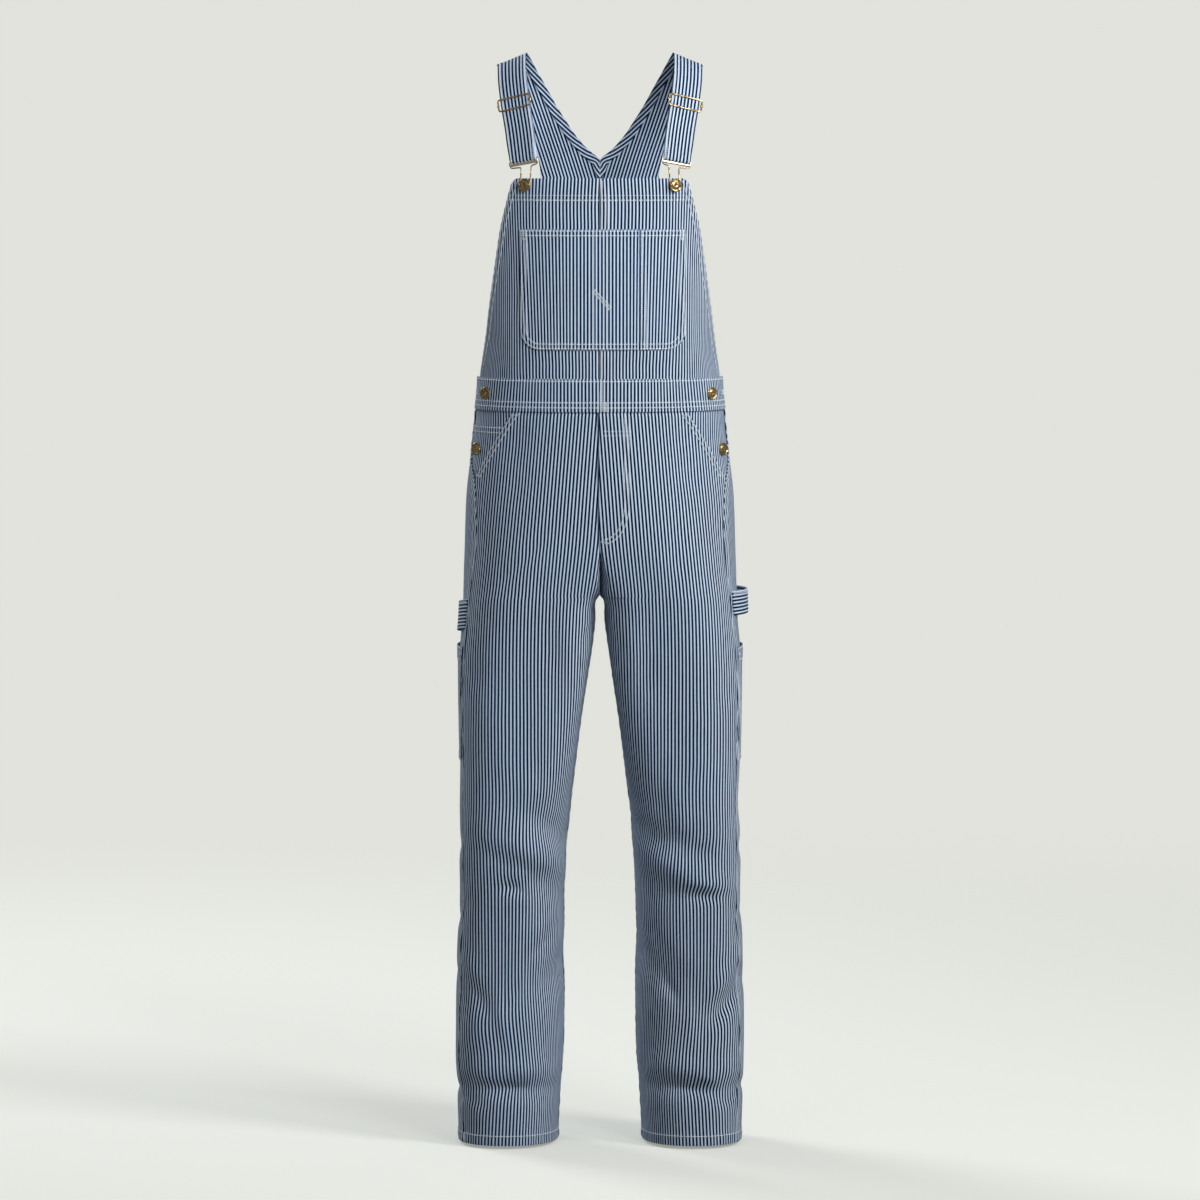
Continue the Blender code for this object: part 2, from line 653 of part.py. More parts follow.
def button(name, spot, square, side, stand, brass):
    """A tack button: a shank that stands on the cloth and a head with a raised rim."""
    low = GAP
    profile = [(0.6, low), (2.7, low), (2.7, stand), (BUTTON - 0.9, stand), (BUTTON, stand + 0.7),
               (BUTTON - 0.3, stand + 1.5), (BUTTON - 1.6, stand + 2.1), (BUTTON - 2.9, stand + 1.7), (1.0, stand + 1.9)]
    helper = np.array([0.0, 0.0, 1.0])
    across = np.cross(helper, square)
    across /= np.linalg.norm(across)
    up = np.cross(square, across)
    turn = np.linspace(0, 2 * math.pi, 12, endpoint=False)[:, None]
    rings = [spot + square * h + r * (np.cos(turn) * across + np.sin(turn) * up) for r, h in profile]
    rings = np.array(rings)
    rings[..., 0] *= side
    tube(name, rings, brass, False)


def buttons(side, word, brass):
    spot, square = button_spot()
    button(f"bib_button_{word}", spot, square, side, HOOK_LIFT + WIRE + 1.0, brass)
    hip_lift = -WALL - FACING_SINK if side > 0 else SINK + COIN_WALL - WALL - FACING_SINK
    for name, across, height, lift in (("waist", 157.0, -472.0, RAISED), ("hip", 171.0, -549.0, hip_lift)):
        angle = angle_at(across, height)
        square = outward(angle, height)
        button(f"{name}_button_{word}", skin(angle, height) + square * lift, square, side, GAP + 1.6, brass)


def tool_pocket(side, word, cloth):
    """Patch on the thigh behind the side seam. Its top edge stands a little open."""
    heights = np.linspace(TOOL_TOP, TOOL_BOTTOM, 7)
    open_top = 1.6 * ((heights - TOOL_BOTTOM) / (TOOL_TOP - TOOL_BOTTOM)) ** 3
    start = side_seam(heights) + 2.5
    panel(f"tool_pocket_{word}", start, start + TOOL_ARC, heights, 9, side, SINK, SINK + PATCH + open_top, cloth)


def hammer_loop(side, word, cloth):
    """Band that runs level from the side seam to the back of the thigh and stands off as a loop."""
    if side > 0:
        middle, half, bulge, drop = -763.0, 17.0, 14.5, 0.0
    else:
        middle, half, bulge, drop = -786.0, 21.0, 4.5, 16.0
    share = np.linspace(0, 1, 13)
    angle = side_seam(middle) + 3 + 72 * share
    height = middle - drop * (share - 0.5)
    lift = GAP + bulge * np.sin(np.pi * share) ** 0.8
    sheets = []
    for extra in (1.5, 0.0):
        rows = [surface(angle, height + edge * half, side, lift + extra) for edge in (1, 0, -1)]
        sheets.append(np.array(rows))
    wall(f"hammer_loop_{word}", sheets[0], sheets[1], cloth)


def main():
    for old in list(bpy.context.scene.objects):
        bpy.data.objects.remove(old, do_unlink=True)
    cloth = material("striped cotton", (0.20, 0.27, 0.40), 0.85)
    patch = material("striped cotton patch", (0.24, 0.31, 0.45), 0.85)
    brass = material("aged brass", (0.42, 0.27, 0.10), 0.38, 1.0)
    bib_pocket("bib_pocket", POCKET_RIGHT, POCKET_SPLIT, patch)
    bib_pocket("pencil_pocket", POCKET_SPLIT + GAP, POCKET_LEFT, patch)
    for side, word in ((1, "left"), (-1, "right")):
        bib(side, word, cloth)
        waistband(side, word, patch)
        legs(side, word, cloth)
        hip_pocket(side, word, patch)
        back_panel(side, word, cloth)
        neck_facing(side, word, patch)
        strap(side, word, cloth)
        tool_pocket(side, word, patch)
        hammer_loop(side, word, patch)
        slider(side, word, brass)
        hook(side, word, brass)
        buttons(side, word, brass)


main()
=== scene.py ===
# %% [markdown]
# # Bib dungarees in striped cotton
# A pair of workman's dungarees in striped twill, worn by nobody and yet keeping a wearer's shape.
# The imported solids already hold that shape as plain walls 2 mm thick. Dressing them means giving each
# panel its woven stripes, its creases, its sewn edges and its brass. One way is to simulate the cloth,
# but the form is already known, so every panel is worked out as a surface in the same numbers as the
# solid under it, only finer. Sizes are in millimetres and angles in degrees until a mesh is made.

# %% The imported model
import json
import math

import bmesh
import bpy
import numpy as np
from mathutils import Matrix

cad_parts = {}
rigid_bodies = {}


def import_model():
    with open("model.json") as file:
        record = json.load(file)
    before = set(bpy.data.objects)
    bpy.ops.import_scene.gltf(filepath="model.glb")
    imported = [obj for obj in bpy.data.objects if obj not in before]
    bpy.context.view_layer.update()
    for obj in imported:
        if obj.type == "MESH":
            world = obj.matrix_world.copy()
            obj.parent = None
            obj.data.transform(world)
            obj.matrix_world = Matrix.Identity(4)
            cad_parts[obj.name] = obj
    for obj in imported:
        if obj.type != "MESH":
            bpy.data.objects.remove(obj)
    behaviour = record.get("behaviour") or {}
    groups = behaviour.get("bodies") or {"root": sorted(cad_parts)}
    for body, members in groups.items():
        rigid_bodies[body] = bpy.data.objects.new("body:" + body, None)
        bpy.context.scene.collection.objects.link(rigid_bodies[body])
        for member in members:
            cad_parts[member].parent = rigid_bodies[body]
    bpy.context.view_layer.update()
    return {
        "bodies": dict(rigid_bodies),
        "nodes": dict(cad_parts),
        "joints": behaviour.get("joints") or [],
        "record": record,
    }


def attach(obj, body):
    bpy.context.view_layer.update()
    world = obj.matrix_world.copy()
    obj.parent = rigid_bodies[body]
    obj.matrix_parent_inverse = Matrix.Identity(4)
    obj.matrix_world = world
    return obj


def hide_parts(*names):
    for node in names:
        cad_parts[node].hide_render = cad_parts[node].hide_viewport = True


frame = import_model()

# %% [markdown]
# ## Camera
# The photograph was taken with a long lens, a little above the middle of the garment, so the bars of
# the two hooks are seen slightly from above and the hem almost from the side. A camera 9 m away with a
# 193 mm lens, tipped down by 4.4 degrees, gives the same frame.

# %% Camera at the photograph's angle
SIDES = ((1, "left"), (-1, "right"))     # the wearer's own sides, as the sign of x and a word


def placed(name, data):
    """A new object in the scene that shows the given data."""
    made = bpy.data.objects.new(name, data)
    bpy.context.scene.collection.objects.link(made)
    return made


camera_data = bpy.data.cameras.new("camera")
camera_data.sensor_width = 36.0
camera_data.lens = 193.0
camera = placed("camera", camera_data)
camera.location = (0.0, -9.0, -0.0691)
camera.rotation_euler = (math.radians(90.0 - 4.4), 0.0, 0.0)
bpy.context.scene.camera = camera
bpy.context.scene.view_settings.view_transform = "Standard"

# %% [markdown]
# ## Studio
# A pale room with one large soft light from the right of the picture and weaker ones elsewhere. The
# floor is a disc that fades into the backdrop's colour, so that no horizon shows from any side. Screen
# colours are turned into the linear numbers that shaders need with the usual curve.

# %% Light and floor
def tone(red, green, blue):
    """Linear colour of a screen colour given as 0 to 255: above its toe each share goes to the power 2.4."""
    share = np.array([red, green, blue]) / 255
    linear = np.where(share > 0.04045, ((share + 0.055) / 1.055) ** 2.4, share / 12.92)
    return (*linear.tolist(), 1.0)


def join(nodes, *pairs):
    """Link sockets given as (from, to) pairs."""
    for source, target in pairs:
        nodes.id_data.links.new(source, target)


BACKDROP = tone(225, 227, 220)
world = bpy.data.worlds.new("pale studio")
bpy.context.scene.world = world
world.use_nodes = True
sky = world.node_tree.nodes
seen = sky["Background"]
seen.inputs["Color"].default_value = BACKDROP
lit = sky.new("ShaderNodeBackground")
lit.inputs["Color"].default_value = tone(240, 243, 246)
lit.inputs["Strength"].default_value = 0.28
choice = sky.new("ShaderNodeMixShader")
ray = sky.new("ShaderNodeLightPath")
join(sky, (ray.outputs["Is Camera Ray"], choice.inputs[0]), (lit.outputs[0], choice.inputs[1]),
     (seen.outputs[0], choice.inputs[2]), (choice.outputs[0], sky["World Output"].inputs["Surface"]))


def soft_light(name, place, target, size, watts, colour, spread=180):
    """A square lamp of a given side that faces a target, its beam as wide as the spread in degrees."""
    data = bpy.data.lights.new(name, "AREA")
    data.size = size
    data.energy = watts
    data.color = colour[:3]
    data.spread = math.radians(spread)
    lamp = placed(name, data)
    way = np.array(target, float) - np.array(place, float)
    flat = math.hypot(way[0], way[1])
    lamp.location = place
    lamp.rotation_euler = (math.atan2(flat, -way[2]), 0.0, math.atan2(way[1], way[0]) - math.pi / 2)


soft_light("key", (3.3, -2.35, 1.75), (0, 0, -0.45), 1.3, 106.0, tone(255, 253, 249))
soft_light("front", (1.7, -3.4, 0.9), (0, 0, 0.3), 1.2, 13.0, tone(246, 250, 255), 70)
soft_light("behind", (-3.0, 3.3, 1.6), (0, 0, -0.5), 1.8, 118.0, tone(250, 252, 255))

FLOOR_HEIGHT = -1.5275
FLOOR_RADIUS = 4.6
spokes = np.linspace(0, 2 * math.pi, 97)[:-1]
ring, spoke = np.meshgrid(np.linspace(0.0, FLOOR_RADIUS, 24), spokes, indexing="ij")
level = np.full(ring.shape, FLOOR_HEIGHT)
floor_points = np.stack([ring * np.cos(spoke), ring * np.sin(spoke), level], axis=-1)
count = ring.shape[1]
i, j = np.meshgrid(np.arange(ring.shape[0] - 1), np.arange(count), indexing="ij")
floor_faces = np.stack([i * count + j, (i + 1) * count + j, (i + 1) * count + (j + 1) % count,
                        i * count + (j + 1) % count], axis=-1).reshape(-1, 4)
floor_mesh = bpy.data.meshes.new("floor")
floor_mesh.from_pydata(floor_points.reshape(-1, 3).tolist(), [], floor_faces.tolist())
floor = placed("floor", floor_mesh)
paper = bpy.data.materials.new("pale studio paper")
paper.use_nodes = True
paper_nodes = paper.node_tree.nodes
paper_shader = paper_nodes["Principled BSDF"]
paper_shader.inputs["Roughness"].default_value = 0.95
paper_shader.inputs["Specular IOR Level"].default_value = 0.05
paper_shader.inputs["Emission Color"].default_value = BACKDROP
glow = paper_nodes.new("ShaderNodeLightPath")
strength = paper_nodes.new("ShaderNodeMath")
strength.operation = "MULTIPLY"
strength.inputs[1].default_value = 0.41
paper_tone = paper_nodes.new("ShaderNodeMix")
paper_tone.data_type = "RGBA"
paper_tone.inputs[6].default_value = tone(128, 130, 126)
paper_tone.inputs[7].default_value = tone(213, 215, 208)
join(paper_nodes, (glow.outputs["Is Camera Ray"], strength.inputs[0]),
     (strength.outputs[0], paper_shader.inputs["Emission Strength"]),
     (glow.outputs["Is Camera Ray"], paper_tone.inputs[0]),
     (paper_tone.outputs[2], paper_shader.inputs["Base Color"]))
place = paper_nodes.new("ShaderNodeTexCoord")
length = paper_nodes.new("ShaderNodeVectorMath")
length.operation = "LENGTH"
flatten = paper_nodes.new("ShaderNodeVectorMath")
flatten.operation = "MULTIPLY"
flatten.inputs[1].default_value = (1, 1, 0)
fade = paper_nodes.new("ShaderNodeMapRange")
fade.interpolation_type = "SMOOTHSTEP"
fade.inputs["From Min"].default_value = 0.9
fade.inputs["From Max"].default_value = 4.2
clear = paper_nodes.new("ShaderNodeBsdfTransparent")
blend = paper_nodes.new("ShaderNodeMixShader")
join(paper_nodes, (place.outputs["Object"], flatten.inputs[0]), (flatten.outputs[0], length.inputs[0]),
     (length.outputs["Value"], fade.inputs["Value"]), (fade.outputs["Result"], blend.inputs[0]),
     (paper_shader.outputs[0], blend.inputs[1]), (clear.outputs[0], blend.inputs[2]),
     (blend.outputs[0], paper_nodes["Material Output"].inputs["Surface"]))
floor_mesh.materials.append(paper)
print("camera, three lamps and a floor at", FLOOR_HEIGHT)

# %% [markdown]
# ## The form in short tables
# The body of the garment is a stack of horizontal sections, each a rounded oval. A table names the
# height and size of each, and a smooth curve runs through every column. The same tables shape the
# solids, so a panel made from them lies on its solid without measuring it.

# %% Sizes and tables of the form
MM = 0.001

# Cloth and clearances
GAP = 0.3             # between pieces that touch
WALL = 2.0            # a panel with its seam turnings
RAISED = 0.8          # how far the waistband stands proud of the panels

# Heights, from the top of the shoulders down
BIB_TOP = -170.0
BAND_TOP = -447.0     # top of the waistband
WAIST = -493.0        # seam between waistband and legs
MOUTH_END = -593.0    # low end of the slanted hip pocket mouth
CROTCH = -757.0
HEM = -1523.0

# Shoulders: height at the neck edge of a strap, its distance from the centre, and the fall outwards
SHOULDER_HEIGHT = 4.0
SHOULDER_NECK = 101.5
SHOULDER_SLOPE = 0.4235
SHOULDER_ROUND = 175.0   # drop over which the cloth turns from lying flat to hanging upright

# Details
POCKET_LEFT = 118.0
POCKET_RIGHT = -110.0
POCKET_SPLIT = 54.0      # edge of the pencil pocket
POCKET_TOP = -240.5
POCKET_BOTTOM = -407.0
POCKET_CORNER = 27.0
MOUTH_START = 120.0      # distance from the centre at the waist seam
FACING_UNDER = 7.0       # degrees that the facing runs on under the front
BAND_WIDTH = 12.0        # turned band along the V of the back
FLY_LAP = 2.0            # the left front laps over the centre by this
FLY_UNDER = 0.5          # the right front runs on under it to this distance from the centre
TOOL_TOP = -824.0
TOOL_BOTTOM = -984.0
TOOL_ARC = 74.0          # degrees of the thigh that a tool pocket covers
STRAP_WIDTH = 43.0
STRAP_THICK = 1.7
STRAP_LIFT = 2.5         # stand-off from the chest at the hook
STRAP_END = -144.5       # height of the loop through the hook
LOOP_PINCH = 2.5         # how much narrower the strap is in that loop
WIRE = 0.95              # radius of the brass wire
NECK = 7.4               # half width of the hook's neck
HOOK_LIFT = 2.9          # of the hook's wire off the bib at the button
BAR_HALF = 2.0           # half height of the hook's flat front bar
SHOULDER_DROP = 4.6      # from that bar to the top of the hook's neck
LOOP_RADIUS = WIRE + GAP + STRAP_THICK / 2   # of the strap's middle round the hook's bar
BUTTON = 9.2             # radius of a button head
BUTTON_CENTRE = (102.3, -179.5)              # of a bib button: distance from the centre, and height
BUTTONHOLE = -469.0      # height of the waist buttons and their holes


def table(names, rows):
    """A short table as one array a column, sorted by its first column."""
    data = np.array(sorted(rows), float).T
    return dict(zip(names.split(), data))


# Horizontal sections of one side, from the hem to the shoulder. Outer and inner are distances from
# the centre plane to the outer side and to the inner leg. An inner value below zero lies past the
# centre plane, where the panels are cut and sewn. Front and back are depths from the section's
# middle, shift moves that middle back, and square is 2 for an ellipse and more for flatter sides.
SECTIONS = table("height outer inner front back shift square", [
    (30, 186, -186, 108, 112, 0, 2.4),
    (-60, 182, -182, 112, 116, 0, 2.4),
    (-120, 174, -174, 115, 117, 0, 2.5),
    (-174, 166, -166, 117, 117, 0, 2.5),
    (-300, 167, -167, 119, 114, 0, 2.4),
    (-400, 170, -170, 117, 109, 0, 2.3),
    (-454, 170.5, -170.5, 115, 110, 0, 2.2),
    (-493, 174, -174, 115, 116, 0, 2.15),
    (-550, 180, -174, 116, 125, 1, 2.1),
    (-610, 187, -155, 118, 132, 2, 2.1),
    (-655, 189, -112, 118, 134, 3, 2.1),
    (-690, 190, -66, 117, 132, 4, 2.1),
    (-716, 191, -33, 115, 128, 5, 2.1),
    (-737, 191.5, -13, 113, 125, 6, 2.1),
    (-757, 192, 3.5, 111, 122, 6, 2.1),
    (-790, 193.5, 7, 108, 118, 7, 2.1),
    (-824, 196.5, 11, 105, 114, 7, 2.1),
    (-870, 198, 18, 101, 109, 7, 2.1),
    (-930, 197.5, 27, 97, 104, 6, 2.1),
    (-985, 196.5, 34, 93, 99, 5, 2.1),
    (-1060, 197.5, 42.5, 90, 94, 5, 2.1),
    (-1120, 198, 47, 87, 92, 8, 2.1),
    (-1180, 197.5, 50.5, 84, 92, 12, 2.1),
    (-1240, 201, 50, 83, 93, 15, 2.1),
    (-1320, 203, 50.5, 83, 92, 16, 2.1),
    (-1400, 203, 52, 84, 90, 14, 2.1),
    (-1460, 201.5, 56.5, 85, 89, 12, 2.1),
    (-1520, 199.5, 60, 86, 90, 11, 2.1),
])

# Side seam: how far round from the front it lies. It runs forward down to the end of the hip pocket.
SIDE_SEAM = table("height angle", [
    (-447, 90), (-493, 90), (-530, 88), (-562, 80), (-593, 69), (-640, 63), (-757, 60), (-985, 59),
    (-1240, 56), (-1520, 57),
])

# Free side edge of the bib
BIB_EDGE = table("height across", [
    (-170, 120), (-200, 128.5), (-230, 136), (-286, 145), (-342, 153), (-398, 160), (-447, 167.5),
])

# Half of the high back: the inner edge, which is the centre seam and then the V, and the free outer edge
BACK_EDGES = table("step in_across in_height out_across out_height", [
    (0, 0, -493, 175, -493),
    (1, 0, -447, 167, -447),
    (2, 0, -400, 149, -400),
    (3, 0, -350, 129, -350),
    (4, 0, -300, 109, -300),
    (5, 0, -250, 93, -250),
    (6, 0, -205, 84.5, -208),
    (7, 0, -170, 82.5, -180),
    (8, 0, -147, 85, -156),
    (9, 17.7, -131, 89, -138),
    (10, 35.1, -111, 95, -118),
    (11, 48.9, -90, 103, -97),
    (12, 61.8, -69.5, 112, -78),
    (13, 74, -47, 122, -60),
    (14, 87.8, -22, 134, -36),
    (15, 101.5, 4, 144, -14),
])

# Centre line of a strap's front and how far it falls outwards
STRAP_LINE = table("height across slope", [
    (-5, 122.7, 0.4235), (-36, 120.6, 0.31), (-69, 116.4, 0.24), (-103, 110.8, 0.20),
    (-145, 105.6, 0.19),
])

# The largest folds of the cloth. Each is a soft trough, or a ridge where depth is below zero, of a
# given length and width, round a point at angle and height, with its length turned by tilt from level.
# Side 1 is the wearer's left leg, -1 the right.
FOLDS = table("side angle height tilt length width depth", [
    (-1, -42, -1075, 28, 100, 20, 7),
    (-1, -22, -1112, 22, 110, 20, -5),
    (-1, -30, -1152, 24, 80, 20, 5),
    (-1, -44, -1292, -32, 120, 26, 7),
    (-1, 12, -1345, -38, 120, 28, -5),
    (-1, -4, -1445, 2, 105, 14, 8),
    (-1, -4, -1416, 2, 95, 16, -4),
    (-1, 150, -1070, 12, 110, 26, 7),
    (-1, 195, -1125, -16, 120, 26, 6),
    (-1, 180, -1428, 6, 110, 18, 7),
    (-1, 205, -800, 25, 130, 26, 6),
    (1, -34, -1088, -20, 100, 20, 7),
    (1, -14, -1132, -22, 110, 20, -5),
    (1, -28, -1165, -18, 80, 20, 4),
    (1, -40, -1272, -32, 120, 26, 7),
    (1, 20, -1335, 36, 120, 28, 5),
    (1, -2, -1443, -3, 105, 14, 8),
    (1, -2, -1414, -3, 95, 16, -4),
    (1, 95, -1042, 5, 90, 34, 3.5),
    (1, 160, -1078, -14, 110, 26, 7),
    (1, 190, -1140, 15, 120, 26, 6),
    (1, 175, -1424, -6, 110, 18, 7),
    (1, 200, -790, -24, 130, 26, 6),
])

# %% Curves through the tables, and the skin of the garment
def both(angle, height):
    """Two values as arrays of one shape."""
    return np.broadcast_arrays(np.asarray(angle, float), np.asarray(height, float))


def bell(distance, width):
    """One at no distance, falling off both ways as the exponential of the squared share of the width."""
    return np.exp(-(distance / width) ** 2)


def unit(vectors):
    """Vectors of the last axis made one long."""
    return vectors / np.linalg.norm(vectors, axis=-1, keepdims=True)


def run_of(points):
    """Length of a line from its start to each of its points."""
    return np.concatenate([[0], np.cumsum(np.linalg.norm(np.diff(points, axis=0), axis=1))])


def eased(value, points, heights):
    """Smooth curve through a table column: a cubic between neighbours with a shared slope at each."""
    slope = np.gradient(heights, points)
    i = np.clip(np.searchsorted(points, value) - 1, 0, len(points) - 2)
    span = points[i + 1] - points[i]
    t = np.clip((value - points[i]) / span, 0, 1)
    start = (1 + 2 * t) * (1 - t) ** 2 * heights[i] + t * (1 - t) ** 2 * span * slope[i]
    return start + t * t * (3 - 2 * t) * heights[i + 1] + t * t * (t - 1) * span * slope[i + 1]


def section(name, height):
    """One measure of the body at a height, from its table."""
    return eased(height, SECTIONS["height"], SECTIONS[name])


def shoulder(across):
    """Height of the shoulder at a distance from the centre."""
    return SHOULDER_HEIGHT - (across - SHOULDER_NECK) * SHOULDER_SLOPE


def squareness(height, inner_front, outer_front):
    """Exponent of a section's oval. In front, beside the crotch, the cloth hangs flat almost to its inner
    edge and turns back sharply there, so that quarter is squarer. So is the outer one down the legs."""
    inner_flat = np.interp(height, [-1040, -880, -720, -610], [0, 2.4, 2.4, 0])
    outer_flat = np.interp(height, [-1500, -1420, -900, -720], [0.3, 0.8, 0.8, 0])
    return section("square", height) + inner_flat * inner_front + outer_flat * outer_front


def skin(angle, height):
    """Outer face of one side. Angle 0 is the front, 90 the outer side, 180 the back, -90 the inner leg."""
    angle, height = both(angle, height)
    outer = section("outer", height)
    inner = section("inner", height)
    sine = np.sin(np.radians(angle))
    cosine = np.cos(np.radians(angle))
    square = squareness(height, (sine < 0) & (cosine > 0), (sine > 0) & (cosine > 0))
    reach = (np.abs(sine) ** square + np.abs(cosine) ** square) ** (-1 / square)
    x = (outer + inner) / 2 + (outer - inner) / 2 * reach * sine
    depth = np.where(cosine > 0, section("front", height), section("back", height)) * reach * cosine
    below = np.clip((shoulder(x) - height) / SHOULDER_ROUND, 0, 1)
    y = section("shift", height) - depth * np.sqrt(1 - (1 - below) ** 2)
    return np.stack([x, y, height], axis=-1)


def outward(angle, height, side=1):
    """Unit vector square to the skin of a side."""
    turn = skin(angle + 0.5, height) - skin(angle - 0.5, height)
    drop = skin(angle, height - 0.4) - skin(angle, height)
    return unit(-np.cross(turn, drop)) * [side, 1, 1]


def folds(angle, height, side):
    """Depth of the folds at a point: each falls off as a bell curve across and along its length."""
    radius = (section("outer", height) - section("inner", height)) / 2
    total = np.zeros(np.broadcast(angle, height).shape)
    for k in range(len(FOLDS["side"])):
        fold = {name: column[k] for name, column in FOLDS.items()}
        if fold["side"] != side:
            continue
        away = (angle - fold["angle"] + 180) % 360 - 180
        along = np.radians(away) * radius
        rise = height - fold["height"]
        tilt = math.radians(fold["tilt"])
        run = along * math.cos(tilt) + rise * math.sin(tilt)
        cross = rise * math.cos(tilt) - along * math.sin(tilt)
        total += fold["depth"] * np.exp(-(cross / fold["width"]) ** 2 - (run / fold["length"] * 1.6) ** 2)
    return total


def angle_at(across, height, behind=False):
    """How far round a point at a distance from the centre plane lies, at the front or behind."""
    outer = section("outer", height)
    inner = section("inner", height)
    ratio = np.clip((across - (outer + inner) / 2) / ((outer - inner) / 2), -1, 1)
    square = squareness(height, (ratio < 0) & (not behind), (ratio > 0) & (not behind))
    depth = (1 - np.abs(ratio) ** square) ** (1 / square)
    found = np.degrees(np.arctan2(ratio, depth))
    return 180 - found if behind else found


def side_seam(height):
    """Angle of the side seam at a height."""
    return eased(height, SIDE_SEAM["height"], SIDE_SEAM["angle"])


def trim(height):
    """Half of a seam's clearance, as an angle."""
    return np.degrees(GAP / 2 / section("front", height))
